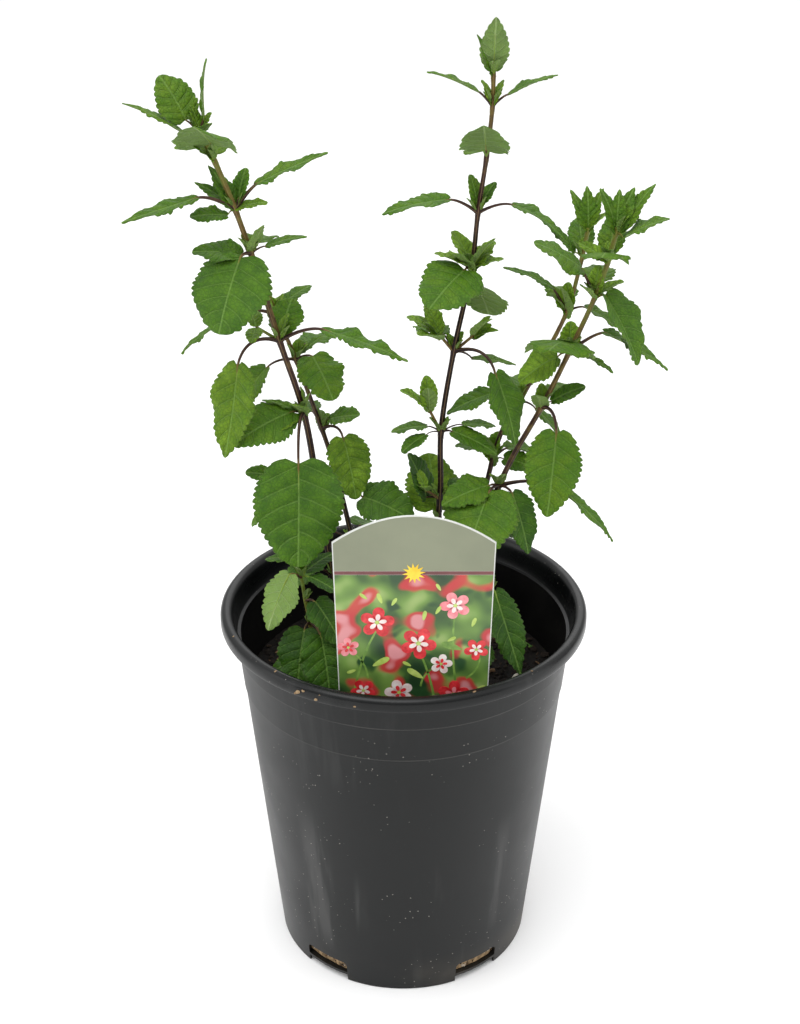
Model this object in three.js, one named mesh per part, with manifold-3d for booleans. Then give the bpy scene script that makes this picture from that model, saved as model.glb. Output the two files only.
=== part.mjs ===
// Potted hot lips sage: a young garden perennial in a black nursery pot.
// Millimetres, +Z up, the pot stands on Z = 0 and its front faces -Y.
import * as THREE from 'three';
import { mergeVertices } from 'three/addons/utils/BufferGeometryUtils.js';
import Module from 'manifold-3d';

const wasm = await Module();
wasm.setup();

// Nursery pot, thin moulded plastic
const POT_HEIGHT = 175;
const POT_SEGMENTS = 48;
const RIM_RADIUS = 82.5;
const WALL = 1.4;
const BASE_RADIUS = 59.6;
const WALL_TOP = 168.4;
const WALL_TOP_RADIUS = 76.5;
const STEP_HEIGHTS = [156, 139];
const STEP_DEPTH = 0.4;
const FLOOR_BOTTOM = 3.5;
const FLOOR_TOP = 5;
const NOTCH_COUNT = 5;
const NOTCH_FIRST_AZIMUTH = 305;
const NOTCH_WIDTH = 23;
const NOTCH_HEIGHT = 11;

// Potting mix
const FIT = 0.3;
const SOIL_TOP = 137;
const SOIL_SEGMENTS = 32;
const SOIL_RINGS = 4;

// Plant label, one printed sheet pushed into the mix
const LABEL_Y = -60;
const LABEL_X = 4;
const LABEL_THICK = 0.7;
const LABEL_HALF_TOP = 33;
const LABEL_HALF_MIX = 30.5;
const LABEL_CORNER_Z = 236;
const LABEL_APEX_Z = 248;
const LABEL_SHOULDER_Z = 128;
const LABEL_POINT_Z = 84;

// Leaves and stems
const BLADE_THICK = 0.6;
const STEM_FOOT = 104;
const LEAF_SEED = 41;

const slots = {
  pot: new THREE.MeshStandardMaterial({ name: 'pot_plastic', color: 0x17181a, roughness: 0.45 }),
  mix: new THREE.MeshStandardMaterial({ name: 'potting_mix', color: 0x1d1612, roughness: 1 }),
  label: new THREE.MeshStandardMaterial({ name: 'label_print', color: 0x9aa085, roughness: 0.5 }),
  leaf: new THREE.MeshStandardMaterial({
    name: 'sage_foliage', color: 0x3f7a2b, roughness: 0.6, flatShading: true,
  }),
};

function seeded(seed) {
  let state = seed >>> 0;
  return () => {
    state = (Math.imul(state, 1664525) + 1013904223) >>> 0;
    return state / 4294967296;
  };
}

function rad(degrees) {
  return degrees * Math.PI / 180;
}

function solidOfPoints(points, triangles) {
  const vertProperties = new Float32Array(points.flatMap((p) => [p.x, p.y, p.z]));
  const solid = new wasm.Manifold(new wasm.Mesh({
    numProp: 3, vertProperties, triVerts: new Uint32Array(triangles.flat()),
  }));
  if (solid.volume() > 0) {
    return solid;
  }
  const flipped = triangles.map(([a, b, c]) => [a, c, b]);
  return new wasm.Manifold(new wasm.Mesh({
    numProp: 3, vertProperties, triVerts: new Uint32Array(flipped.flat()),
  }));
}

function solidOfGeometry(geometry) {
  const bare = geometry.index ? geometry.toNonIndexed() : geometry.clone();
  bare.deleteAttribute('normal');
  bare.deleteAttribute('uv');
  const merged = mergeVertices(bare, 1e-4);
  return new wasm.Manifold(new wasm.Mesh({
    numProp: 3,
    vertProperties: new Float32Array(merged.attributes.position.array),
    triVerts: new Uint32Array(merged.index.array),
  }));
}

function meshOfSolid(name, solid, material) {
  const data = solid.getMesh();
  const geometry = new THREE.BufferGeometry();
  geometry.setAttribute('position', new THREE.Float32BufferAttribute(data.vertProperties, 3));
  geometry.setIndex(Array.from(data.triVerts));
  geometry.computeVertexNormals();
  const mesh = new THREE.Mesh(geometry, material);
  mesh.name = name;
  return mesh;
}

function potOuterRadius(z) {
  const lowered = STEP_HEIGHTS.filter((step) => z < step).length * STEP_DEPTH;
  const slope = (WALL_TOP_RADIUS - 2 * STEP_DEPTH - BASE_RADIUS) / WALL_TOP;
  return BASE_RADIUS + 2 * STEP_DEPTH - lowered + slope * z;
}

function potInnerRadius(z) {
  const slope = (WALL_TOP_RADIUS - 2 * STEP_DEPTH - BASE_RADIUS) / WALL_TOP;
  return BASE_RADIUS - WALL + slope * z;
}

// One turned profile: floor, straight wall with two fine steps, rolled lip
function makePotShell() {
  const profile = [
    [0, FLOOR_BOTTOM],
    [potInnerRadius(FLOOR_BOTTOM), FLOOR_BOTTOM],
    [potInnerRadius(0), 0],
    [potOuterRadius(0), 0],
    [potOuterRadius(138.9), STEP_HEIGHTS[1] - 0.3],
    [potOuterRadius(139), STEP_HEIGHTS[1]],
    [potOuterRadius(155.9), STEP_HEIGHTS[0] - 0.3],
    [potOuterRadius(156), STEP_HEIGHTS[0]],
    [WALL_TOP_RADIUS, WALL_TOP],
    [77.2, 169],
    [81.8, 169],
    [RIM_RADIUS, 169.7],
    [RIM_RADIUS, 172.8],
    [81.5, 174.4],
    [79.6, POT_HEIGHT],
    [77.9, 174.5],
    [76.7, 172],
    [75.5, 163.8],
    [potInnerRadius(163), 163],
    [potInnerRadius(FLOOR_TOP), FLOOR_TOP],
    [0, FLOOR_TOP],
  ].map(([r, z]) => new THREE.Vector2(r, z));
  const turned = new THREE.LatheGeometry(profile, POT_SEGMENTS);
  turned.rotateX(Math.PI / 2);
  return solidOfGeometry(turned);
}

// A drain notch leaves a foot on either side and the floor edge across it
function makeNotchCutter(azimuth) {
  const half = NOTCH_WIDTH / 2;
  const opening = new THREE.Shape();
  opening.moveTo(-half, FLOOR_TOP);
  opening.lineTo(half, FLOOR_TOP);
  opening.lineTo(half - 0.3, NOTCH_HEIGHT - 2);
  opening.lineTo(half - 1, NOTCH_HEIGHT - 0.6);
  opening.lineTo(half - 2.3, NOTCH_HEIGHT);
  opening.lineTo(2.3 - half, NOTCH_HEIGHT);
  opening.lineTo(1 - half, NOTCH_HEIGHT - 0.6);
  opening.lineTo(0.3 - half, NOTCH_HEIGHT - 2);
  opening.closePath();
  const upper = new THREE.ExtrudeGeometry(opening, { depth: 14, bevelEnabled: false, steps: 1 });
  upper.rotateX(Math.PI / 2);
  upper.translate(0, 68, 0);
  const lower = new THREE.BoxGeometry(NOTCH_WIDTH, 12, 6);
  lower.translate(0, 62.5, FLOOR_BOTTOM - 3);
  const both = solidOfGeometry(upper).add(solidOfGeometry(lower));
  return both.rotate([0, 0, azimuth - 90]);
}

function makePot() {
  let shell = makePotShell();
  for (let i = 0; i < NOTCH_COUNT; i += 1) {
    shell = shell.subtract(makeNotchCutter(NOTCH_FIRST_AZIMUTH - i * 360 / NOTCH_COUNT));
  }
  return shell.simplify(0.01);
}

// Gentle heaps and hollows of the mix, higher toward the crown
function soilHeight(x, y) {
  const crown = 3.2 * Math.exp(-(x * x + y * y) / 900);
  const heaps = 1.3 * Math.sin(x * 0.085 + 0.7) * Math.cos(y * 0.074 - 0.4);
  const lumps = 0.8 * Math.sin(x * 0.21 - y * 0.17 + 1.1);
  return SOIL_TOP - 1 + crown + heaps + lumps;
}

function makeMixBody() {
  const points = [];
  const triangles = [];
  const topEdge = potInnerRadius(SOIL_TOP) - FIT - 0.2;
  points.push(new THREE.Vector3(0, 0, soilHeight(0, 0)));
  for (let ring = 1; ring <= SOIL_RINGS; ring += 1) {
    for (let s = 0; s < SOIL_SEGMENTS; s += 1) {
      const a = 2 * Math.PI * s / SOIL_SEGMENTS;
      const r = topEdge * ring / SOIL_RINGS;
      const x = r * Math.cos(a);
      const y = r * Math.sin(a);
      const z = ring === SOIL_RINGS ? SOIL_TOP - 1.5 : soilHeight(x, y);
      points.push(new THREE.Vector3(x, y, z));
    }
  }
  const footStart = points.length;
  const footRadius = potInnerRadius(FLOOR_TOP + FIT) - FIT - 0.1;
  for (let s = 0; s < SOIL_SEGMENTS; s += 1) {
    const a = 2 * Math.PI * s / SOIL_SEGMENTS;
    points.push(new THREE.Vector3(footRadius * Math.cos(a), footRadius * Math.sin(a), FLOOR_TOP + FIT));
  }
  points.push(new THREE.Vector3(0, 0, FLOOR_TOP + FIT));
  const footCentre = points.length - 1;
  for (let s = 0; s < SOIL_SEGMENTS; s += 1) {
    const next = (s + 1) % SOIL_SEGMENTS;
    triangles.push([0, 1 + s, 1 + next]);
    for (let ring = 0; ring < SOIL_RINGS - 1; ring += 1) {
      const inner = 1 + ring * SOIL_SEGMENTS;
      const outer = inner + SOIL_SEGMENTS;
      triangles.push([inner + s, outer + s, outer + next], [inner + s, outer + next, inner + next]);
    }
    const edge = 1 + (SOIL_RINGS - 1) * SOIL_SEGMENTS;
    triangles.push([edge + s, footStart + s, footStart + next], [edge + s, footStart + next, edge + next]);
    triangles.push([footCentre, footStart + next, footStart + s]);
  }
  return solidOfPoints(points, triangles);
}

function labelOutline(margin) {
  const outline = new THREE.Shape();
  outline.moveTo(0, LABEL_POINT_Z - 2 * margin);
  outline.lineTo(13 + margin, LABEL_POINT_Z + 14);
  outline.lineTo(26 + margin, LABEL_SHOULDER_Z - 8);
  outline.lineTo(LABEL_HALF_MIX + margin, LABEL_SHOULDER_Z);
  outline.lineTo(LABEL_HALF_TOP + margin, LABEL_CORNER_Z);
  for (let i = 1; i < 12; i += 1) {
    const across = (LABEL_HALF_TOP + margin) * Math.cos(Math.PI * i / 12);
    const rise = (LABEL_APEX_Z - LABEL_CORNER_Z) * (1 - (across / LABEL_HALF_TOP) ** 2);
    outline.lineTo(across, LABEL_CORNER_Z + Math.max(rise, 0));
  }
  outline.lineTo(-LABEL_HALF_TOP - margin, LABEL_CORNER_Z);
  outline.lineTo(-LABEL_HALF_MIX - margin, LABEL_SHOULDER_Z);
  outline.lineTo(-26 - margin, LABEL_SHOULDER_Z - 8);
  outline.lineTo(-13 - margin, LABEL_POINT_Z + 14);
  outline.closePath();
  return outline;
}

function makeLabel(margin) {
  const depth = LABEL_THICK + 2 * margin;
  const sheet = new THREE.ExtrudeGeometry(labelOutline(margin), { depth, bevelEnabled: false });
  sheet.rotateX(Math.PI / 2);
  sheet.translate(LABEL_X, LABEL_Y + depth / 2, 0);
  return solidOfGeometry(sheet);
}

// Sweep of a many sided section along a line of points, closed at both ends
function makeTube(line, radii, sides, squareness) {
  const points = [];
  const triangles = [];
  let side = new THREE.Vector3(1, 0, 0);
  line.forEach((p, i) => {
    const ahead = line[Math.min(i + 1, line.length - 1)];
    const behind = line[Math.max(i - 1, 0)];
    const along = ahead.clone().sub(behind).normalize();
    side = side.clone().addScaledVector(along, -side.dot(along));
    if (side.length() < 1e-3) {
      side = new THREE.Vector3(0, 1, 0).addScaledVector(along, -along.y);
    }
    side.normalize();
    const other = along.clone().cross(side);
    for (let k = 0; k < sides; k += 1) {
      const a = 2 * Math.PI * (k + 0.5) / sides;
      const corner = Math.cos(4 * a - Math.PI);
      const r = radii[i] * (1 + squareness * corner);
      points.push(p.clone().addScaledVector(side, r * Math.cos(a)).addScaledVector(other, r * Math.sin(a)));
    }
  });
  for (let i = 0; i < line.length - 1; i += 1) {
    for (let k = 0; k < sides; k += 1) {
      const a = i * sides + k;
      const b = i * sides + (k + 1) % sides;
      triangles.push([a, b, b + sides], [a, b + sides, a + sides]);
    }
  }
  const last = (line.length - 1) * sides;
  for (let k = 1; k < sides - 1; k += 1) {
    triangles.push([0, k + 1, k], [last, last + k, last + k + 1]);
  }
  return solidOfPoints(points, triangles);
}

// Half width of an ovate blade, widest below the middle; a broad leaf is blunter than a slim one
function ovate(t, slim) {
  return Math.sin(Math.PI * t ** 0.66) ** (0.5 + 0.35 * slim);
}

// A blade is a bent sheet: midrib stations with a left and a right margin point each
function bladeFrame(leaf, start) {
  const azimuth = rad(leaf.aim + (leaf.turn ?? 0));
  const heading = new THREE.Vector3(Math.cos(azimuth), Math.sin(azimuth), 0);
  const level = new THREE.Vector3(-Math.sin(azimuth), Math.cos(azimuth), 0);
  const roll = rad(leaf.roll ?? 0);
  const arch = leaf.arch ?? 18;
  const twist = rad(leaf.twist ?? 0);
  return (t) => {
    const steps = 8;
    const point = start.clone();
    for (let s = 0; s < steps; s += 1) {
      const elevation = rad(leaf.dip + arch * (0.5 - (s + 0.5) * t / steps));
      point.addScaledVector(heading, Math.cos(elevation) * leaf.blade * t / steps);
      point.z += Math.sin(elevation) * leaf.blade * t / steps;
    }
    const e = rad(leaf.dip + arch * (0.5 - t));
    const along = heading.clone().multiplyScalar(Math.cos(e)).setZ(Math.sin(e));
    const up = along.clone().cross(level);
    const tilt = roll + twist * t;
    const left = level.clone().multiplyScalar(Math.cos(tilt)).addScaledVector(up, Math.sin(tilt));
    return { point, left, normal: along.clone().cross(left) };
  };
}

// One closed strip of cross rows, each two or three points wide, drawn to a point at the tip
function solidOfRows(rows, tip) {
  const points = [];
  const triangles = [];
  const pushPair = (p, normal, thick) => {
    points.push(p.clone().addScaledVector(normal, thick / 2));
    points.push(p.clone().addScaledVector(normal, -thick / 2));
    return points.length - 2;
  };
  const bothFaces = (a, b, c) => triangles.push([a, b, c], [a + 1, c + 1, b + 1]);
  const edge = (a, b) => triangles.push([a, a + 1, b + 1], [a, b + 1, b]);
  const ids = rows.map((row) => row.across.map((p) => pushPair(p, row.normal, row.thick)));
  const end = pushPair(tip.point, tip.normal, BLADE_THICK);
  edge(ids[0][0], ids[0][1]);
  for (let i = 0; i < ids.length - 1; i += 1) {
    const now = ids[i];
    const next = ids[i + 1];
    if (now.length === 2 && next.length === 2) {
      bothFaces(now[0], now[1], next[1]);
      bothFaces(now[0], next[1], next[0]);
    } else if (now.length === 2) {
      bothFaces(now[0], next[1], next[0]);
      bothFaces(now[0], now[1], next[1]);
      bothFaces(now[1], next[2], next[1]);
    } else {
      bothFaces(now[0], now[1], next[1]);
      bothFaces(now[0], next[1], next[0]);
      bothFaces(now[1], now[2], next[2]);
      bothFaces(now[1], next[2], next[1]);
    }
    edge(now[now.length - 1], next[next.length - 1]);
    edge(next[0], now[0]);
  }
  const last = ids[ids.length - 1];
  for (let k = 0; k < last.length - 1; k += 1) {
    bothFaces(last[k], last[k + 1], end);
  }
  edge(last[last.length - 1], end);
  edge(end, last[0]);
  return solidOfPoints(points, triangles);
}

// Petiole out of the stem, then the blade: midrib with a left and a right margin point each
function makeLeaf(leaf, root) {
  const azimuth = rad(leaf.aim);
  const heading = new THREE.Vector3(Math.cos(azimuth), Math.sin(azimuth), 0);
  const level = new THREE.Vector3(-Math.sin(azimuth), Math.cos(azimuth), 0);
  const rise = rad(leaf.rise ?? 40);
  const stalk = leaf.stalk ?? 0.3;
  const bow = leaf.bow ?? 0.12;
  const end = root.clone().addScaledVector(heading, stalk * Math.cos(rise));
  end.z += stalk * Math.sin(rise);
  const frame = bladeFrame(leaf, end);
  const rows = [];
  const pushStalk = (point, half, thick, left, normal) => {
    const across = [point.clone().addScaledVector(left, half), point.clone().addScaledVector(left, -half)];
    rows.push({ across, normal, thick });
  };
  if (stalk > 2.5) {
    const along = heading.clone().multiplyScalar(Math.cos(rise)).setZ(Math.sin(rise));
    const up = along.clone().cross(level);
    pushStalk(root, 0.85, 1.5, level, up);
    if (stalk > 9) {
      const bent = root.clone().lerp(end, 0.5).addScaledVector(heading, bow * stalk * 0.5);
      bent.z += bow * stalk;
      pushStalk(bent, 0.65, 1.2, level, up);
    }
  }
  const neck = frame(0);
  pushStalk(neck.point, 0.6, stalk > 2.5 ? 1.1 : 0.8, neck.left, neck.normal);
  const stations = leaf.blade > 36 ? 5 : leaf.blade > 23 ? 3 : leaf.blade > 14 ? 2 : 1;
  const half = leaf.wide / 2;
  const slim = Math.min(1, Math.max(0, 1.6 - 1.7 * leaf.wide / leaf.blade));
  const fold = rad(leaf.fold ?? 12);
  for (let i = 1; i <= stations; i += 1) {
    const t = i / (stations + 1);
    const at = frame(t);
    const w = half * ovate(t, slim);
    const out = Math.cos(fold) * w;
    const lift = Math.sin(fold) * w;
    const ripple = stations > 2 ? (leaf.wave ?? 0) * w * (i % 2 === 0 ? 1 : -1) : 0;
    const leftPoint = at.point.clone().addScaledVector(at.left, out)
      .addScaledVector(at.normal, lift + ripple);
    const rightPoint = at.point.clone().addScaledVector(at.left, -out)
      .addScaledVector(at.normal, lift - ripple);
    rows.push({ across: [leftPoint, at.point, rightPoint], normal: at.normal, thick: BLADE_THICK });
  }
  return solidOfRows(rows, frame(1));
}

// Young leaflets of an axil: a pair to the sides and the rest nearly upright
function tuftLeaves(tuft, random) {
  const leaves = [];
  for (let i = 0; i < tuft.count; i += 1) {
    const spread = tuft.count === 1 ? 0 : (i / (tuft.count - 1) - 0.5) * 2;
    const blade = tuft.size * (0.85 + 0.3 * random());
    leaves.push({
      aim: tuft.aim + spread * (tuft.fan ?? 80) + 20 * (random() - 0.5),
      dip: (tuft.dip ?? 55) + (i % 2 === 0 ? 14 : -16) + 14 * (random() - 0.5),
      blade,
      wide: blade * (0.4 + 0.12 * random()),
      arch: 14,
      fold: 20,
      sink: 1.4 * i,
    });
  }
  return leaves;
}

// A young side shoot is a short twig with its leaflets at the far end
function tuftTwig(tuft, root) {
  const azimuth = rad(tuft.aim);
  const lift = rad(tuft.lift ?? 50);
  const far = root.clone();
  far.x += tuft.reach * Math.cos(lift) * Math.cos(azimuth);
  far.y += tuft.reach * Math.cos(lift) * Math.sin(azimuth);
  far.z += tuft.reach * Math.sin(lift);
  return far;
}

function stemCurve(stem) {
  const points = [...stem.path].map(([x, y, z]) => new THREE.Vector3(x, y, z));
  return new THREE.CatmullRomCurve3(points, false, 'centripetal');
}

function pointAtHeight(stem, z) {
  const curve = stemCurve(stem);
  let low = 0;
  let high = 1;
  for (let i = 0; i < 30; i += 1) {
    const mid = (low + high) / 2;
    if (curve.getPoint(mid).z < z) {
      low = mid;
    } else {
      high = mid;
    }
  }
  return curve.getPoint(low);
}

function stemRadius(stem, z) {
  const foot = stem.path[0][2];
  const top = stem.path[stem.path.length - 1][2];
  const run = (z - foot) / (top - foot);
  return stem.thick * (1 - 0.45 * run) / 2;
}

function stemLine(stem, upTo, grow) {
  const heights = [...stem.path.map(([, , z]) => z), ...stem.nodes.map((node) => node.at)];
  const kept = heights.filter((z) => z <= upTo).sort((a, b) => a - b);
  const spaced = kept.filter((z, i) => i === 0 || z - kept[i - 1] > 3);
  const line = spaced.map((z) => pointAtHeight(stem, z));
  const radii = spaced.map((z) => stemRadius(stem, z) + grow);
  return { line, radii };
}

function makeLeafyStem(stem, random) {
  const { line, radii } = stemLine(stem, 1000, 0);
  let solid = makeTube(line, radii, 4, 0);
  stem.nodes.forEach((node) => {
    const root = pointAtHeight(stem, node.at);
    (node.leaves ?? []).forEach((leaf) => {
      solid = solid.add(makeLeaf(leaf, root));
    });
    (node.tufts ?? []).forEach((tuft) => {
      const far = tuft.reach ? tuftTwig(tuft, root) : root;
      if (tuft.reach) {
        solid = solid.add(makeTube([root, far], [1, 0.8], 3, 0));
      }
      tuftLeaves(tuft, random).forEach((leaf) => {
        const from = far.clone();
        from.z -= leaf.sink * (tuft.reach ? 0.5 : 1);
        solid = solid.add(makeLeaf(leaf, from));
      });
    });
  });
  const bodies = solid.simplify(0.08).decompose().sort((a, b) => b.volume() - a.volume());
  return bodies[0];
}

function makeStemHole(stem) {
  const { line, radii } = stemLine(stem, 150, FIT + 0.1);
  const foot = line[0].clone();
  foot.z -= FIT;
  return makeTube([foot, ...line.slice(1)], radii, 4, 0);
}

// Each stem: a line of points from the mix to the tip, and its leaf nodes in opposite pairs.
// aim is the compass heading of a leaf, rise and stalk its petiole, dip the slope of the blade.
const stems = [
  {
    name: 'leafy_stem_left_front',
    thick: 3.4,
    path: [[-19, -3, STEM_FOOT], [-24, -4, 140], [-30, -4, 180], [-36, -4, 222], [-42, -8, 270],
      [-51, -10, 303], [-62, -10, 343], [-68, -10, 362], [-75, -10, 380], [-80, -10, 390]],
    nodes: [
      {
        at: 190,
        leaves: [
          { aim: 215, rise: 35, stalk: 12, dip: -30, blade: 24, wide: 17, turn: -10 },
          { aim: 352, rise: 20, stalk: 6, dip: -25, blade: 16, wide: 12 },
        ],
      },
      {
        at: 232,
        leaves: [
          { aim: 186, rise: 24, stalk: 20, dip: 8, blade: 13, wide: 8, roll: -30 },
          { aim: 200, rise: -10, stalk: 22, dip: -45, blade: 12, wide: 8 },
        ],
      },
      {
        at: 270,
        leaves: [
          { aim: 262, rise: -50, stalk: 22, bow: 0.3, dip: -74, blade: 45, wide: 39, arch: 8, fold: 5,
            turn: 9 },
          { aim: 205, rise: 20, stalk: 5, dip: -20, blade: 30, wide: 21, roll: -32, fold: 4 },
          { aim: 178, rise: 30, stalk: 2, dip: 16, blade: 17, wide: 7 },
          { aim: 222, rise: -10, stalk: 2, dip: -18, blade: 13, wide: 8 },
        ],
        tufts: [{ aim: 250, size: 13, count: 3, dip: 65 }],
      },
      {
        at: 303,
        leaves: [
          { aim: 350, rise: 17, stalk: 20, dip: -18, blade: 37, wide: 14, roll: 4, wave: 0.14, arch: 10 },
          { aim: 202, rise: -24, stalk: 20, bow: 0.25, dip: -76, blade: 40, wide: 21, turn: 34, arch: -6, roll: -12 },
          { aim: 65, rise: 50, stalk: 3, dip: 52, blade: 16, wide: 15, fold: 4 },
        ],
        tufts: [{ aim: 178, reach: 11, lift: 32, size: 11, count: 2, dip: 5 },
          { aim: 20, size: 11, count: 1, dip: 50 }],
      },
      {
        at: 340,
        leaves: [
          { aim: 236, rise: 2, stalk: 6.5, dip: -54, blade: 33, wide: 35, arch: 12, fold: 3, turn: 6, roll: -5 },
          { aim: 185, rise: -12, stalk: 4, dip: 6, blade: 20, wide: 15, roll: -20 },
          { aim: 5, rise: 24, stalk: 7, dip: 12, blade: 17, wide: 8, roll: 8 },
          { aim: 320, dip: 60, blade: 15, wide: 7 },
          { aim: 75, rise: 30, stalk: 6, dip: -10, blade: 20, wide: 15 },
        ],
      },
      {
        at: 358,
        leaves: [
          { aim: 15, rise: 46, stalk: 13.5, dip: 20, blade: 31, wide: 12, arch: 5, roll: 5 },
          { aim: 203, rise: 21, stalk: 17, dip: -13, blade: 31, wide: 13, arch: 2, roll: -5 },
          { aim: 350, dip: 14, blade: 14, wide: 6, roll: 20 },
          { aim: 192, rise: -35, stalk: 4, dip: 0, blade: 15, wide: 9, roll: -25 },
          { aim: 172, dip: 32, blade: 19, wide: 8, roll: -20 },
          { aim: 155, dip: 56, blade: 20, wide: 9, roll: -20 },
          { aim: 50, rise: 60, stalk: 5, dip: 66, blade: 12, wide: 8 },
        ],
      },
      {
        at: 377,
        leaves: [
          { aim: 258, rise: 70, stalk: 8, dip: 30, blade: 21, wide: 27, fold: -12, wave: 0.14 },
          { aim: 103, rise: 30, stalk: 4, dip: 8, blade: 18, wide: 15 },
          { aim: 200, dip: 40, blade: 13, wide: 7, roll: -20 },
        ],
      },
      {
        at: 388,
        leaves: [
          { aim: 188, rise: 8, stalk: 7, dip: 27, blade: 25, wide: 10 },
          { aim: 10, rise: 72, stalk: 6, dip: 84, blade: 23, wide: 9 },
          { aim: 176, rise: 44, stalk: 7, dip: 53, blade: 20, wide: 17, fold: 5, turn: -26, roll: -34 },
        ],
        tufts: [{ aim: 230, size: 10, count: 2, dip: 55 }],
      },
    ],
  },
  {
    name: 'leafy_stem_left_back',
    thick: 2.8,
    path: [[-9, 9, STEM_FOOT], [-12, 9, 140], [-19, 8, 180], [-27, 8, 222], [-32, 8, 244],
      [-40, 8, 270], [-48, 8, 294], [-53, 8, 307], [-57, 8, 318]],
    nodes: [
      {
        at: 200,
        leaves: [
          { aim: 70, rise: 30, stalk: 10, dip: -25, blade: 26, wide: 19 },
          { aim: 160, rise: 20, stalk: 12, dip: -35, blade: 24, wide: 17 },
        ],
      },
      {
        at: 226,
        leaves: [
          { aim: 325, rise: 2, stalk: 12, dip: -20, blade: 25, wide: 24, turn: 18, roll: 26 },
          { aim: 172, rise: 30, stalk: 8, dip: -20, blade: 20, wide: 14 },
        ],
      },
      {
        at: 256,
        leaves: [
          { aim: 330, rise: -10, stalk: 11, bow: 0.3, dip: -68, blade: 28, wide: 22, turn: -30 },
          { aim: 340, rise: 55, stalk: 6, dip: 14, blade: 15, wide: 11, roll: 20 },
          { aim: 120, rise: 30, stalk: 10, dip: -15, blade: 24, wide: 16 },
        ],
        tufts: [{ aim: 330, size: 10, count: 2, dip: 70 }],
      },
      {
        at: 288,
        leaves: [
          { aim: 342, rise: 18, stalk: 8, dip: -46, blade: 22, wide: 23, fold: 0, turn: -34 },
          { aim: 190, rise: -14, stalk: 13, dip: -50, blade: 25, wide: 18, turn: 20 },
          { aim: 25, rise: 40, stalk: 4, dip: 30, blade: 12, wide: 6 },
          { aim: 60, rise: 30, stalk: 9, dip: -10, blade: 24, wide: 15 },
        ],
      },
      {
        at: 308,
        leaves: [
          { aim: 178, rise: -2, stalk: 18, dip: -36, blade: 29, wide: 13, turn: 4 },
          { aim: 40, rise: 45, stalk: 5, dip: 20, blade: 16, wide: 9 },
        ],
        tufts: [{ aim: 90, size: 11, count: 3, dip: 60 }],
      },
    ],
  },
  {
    name: 'leafy_stem_centre',
    thick: 2.9,
    path: [[9, 3, STEM_FOOT], [11, 2, 140], [13, 0, 185], [16, 0, 230], [16, 2, 257], [21, 4, 293],
      [28, 5, 330], [30, 6, 352], [33, 8, 374], [35, 10, 394], [35, 10, 409]],
    nodes: [
      {
        at: 216,
        leaves: [
          { aim: 100, rise: 25, stalk: 6, dip: 54, blade: 26, wide: 26, fold: -6 },
          { aim: 218, rise: 5, stalk: 8, dip: -26, blade: 24, wide: 17 },
        ],
      },
      {
        at: 226,
        leaves: [
          { aim: 182, rise: 8, stalk: 6, dip: 68, blade: 23, wide: 16, roll: -30 },
          { aim: 20, rise: 35, stalk: 6, dip: -20, blade: 20, wide: 17, roll: 20 },
        ],
        tufts: [{ aim: 205, reach: 9, lift: 40, size: 11, count: 2, dip: 48, fan: 50 }],
      },
      {
        at: 257,
        leaves: [
          { aim: 190, rise: 27, stalk: 7, dip: -6, blade: 16, wide: 9 },
          { aim: 215, rise: 5, stalk: 8, dip: -22, blade: 14, wide: 9 },
          { aim: 10, rise: 16, stalk: 10, dip: -8, blade: 15, wide: 9 },
          { aim: 345, rise: 10, stalk: 5, dip: -24, blade: 22, wide: 12, roll: 20 },
        ],
        tufts: [{ aim: 184, reach: 12, lift: 64, size: 14, count: 3, dip: 58 }],
      },
      {
        at: 293,
        leaves: [
          { aim: 340, rise: -22, stalk: 20, bow: 0.25, dip: -68, blade: 32, wide: 20, turn: -25 },
          { aim: 10, rise: -25, stalk: 9, dip: -12, blade: 20, wide: 10 },
          { aim: 120, rise: 30, stalk: 10, dip: -10, blade: 25, wide: 14 },
        ],
        tufts: [{ aim: 176, reach: 9.5, lift: 50, size: 15, count: 4, dip: 34, fan: 50 },
          { aim: 5, reach: 11, lift: 40, size: 12, count: 4, dip: 32, fan: 60 }],
      },
      {
        at: 330,
        leaves: [
          { aim: 228, rise: -5, stalk: 4.5, dip: -28, blade: 25, wide: 28, roll: -14, fold: 4 },
          { aim: 62, rise: -64, stalk: 11, dip: -50, blade: 23, wide: 25, fold: -4 },
        ],
        tufts: [{ aim: 180, size: 16, count: 3, dip: 34, fan: 34 },
          { aim: 5, size: 15, count: 3, dip: 34, fan: 34 }],
      },
      {
        at: 352,
        leaves: [
          { aim: 185, rise: 25, stalk: 13.5, dip: -12, blade: 28, wide: 14, roll: -8 },
          { aim: 350, rise: 15, stalk: 15, dip: -33, blade: 25, wide: 14, arch: 34 },
          { aim: 140, rise: 70, stalk: 3, dip: 74, blade: 13, wide: 8 },
          { aim: 40, rise: 60, stalk: 3, dip: 46, blade: 12, wide: 7 },
        ],
      },
      {
        at: 374,
        leaves: [
          { aim: 262, rise: 56, stalk: 5, dip: 40, blade: 20, wide: 21, fold: -14, wave: 0.1 },
          { aim: 88, rise: 20, stalk: 5, dip: -12, blade: 20, wide: 19, fold: -6 },
        ],
      },
      {
        at: 394,
        leaves: [
          { aim: 185, rise: 44, stalk: 8.7, dip: 21, blade: 22, wide: 9 },
          { aim: 5, rise: 35, stalk: 8, dip: 20, blade: 21, wide: 9 },
          { aim: 150, dip: 62, blade: 11, wide: 5 },
          { aim: 30, dip: 62, blade: 11, wide: 5 },
        ],
      },
      {
        at: 406,
        leaves: [
          { aim: 272, rise: 80, stalk: 3, dip: 84, blade: 20, wide: 12, fold: 4, arch: -10 },
          { aim: 92, rise: 70, stalk: 2, dip: 78, blade: 17, wide: 11 },
          { aim: 178, dip: 66, blade: 17, wide: 7, roll: -30 },
        ],
      },
    ],
  },
  {
    name: 'leafy_stem_right_front',
    thick: 3.1,
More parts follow.
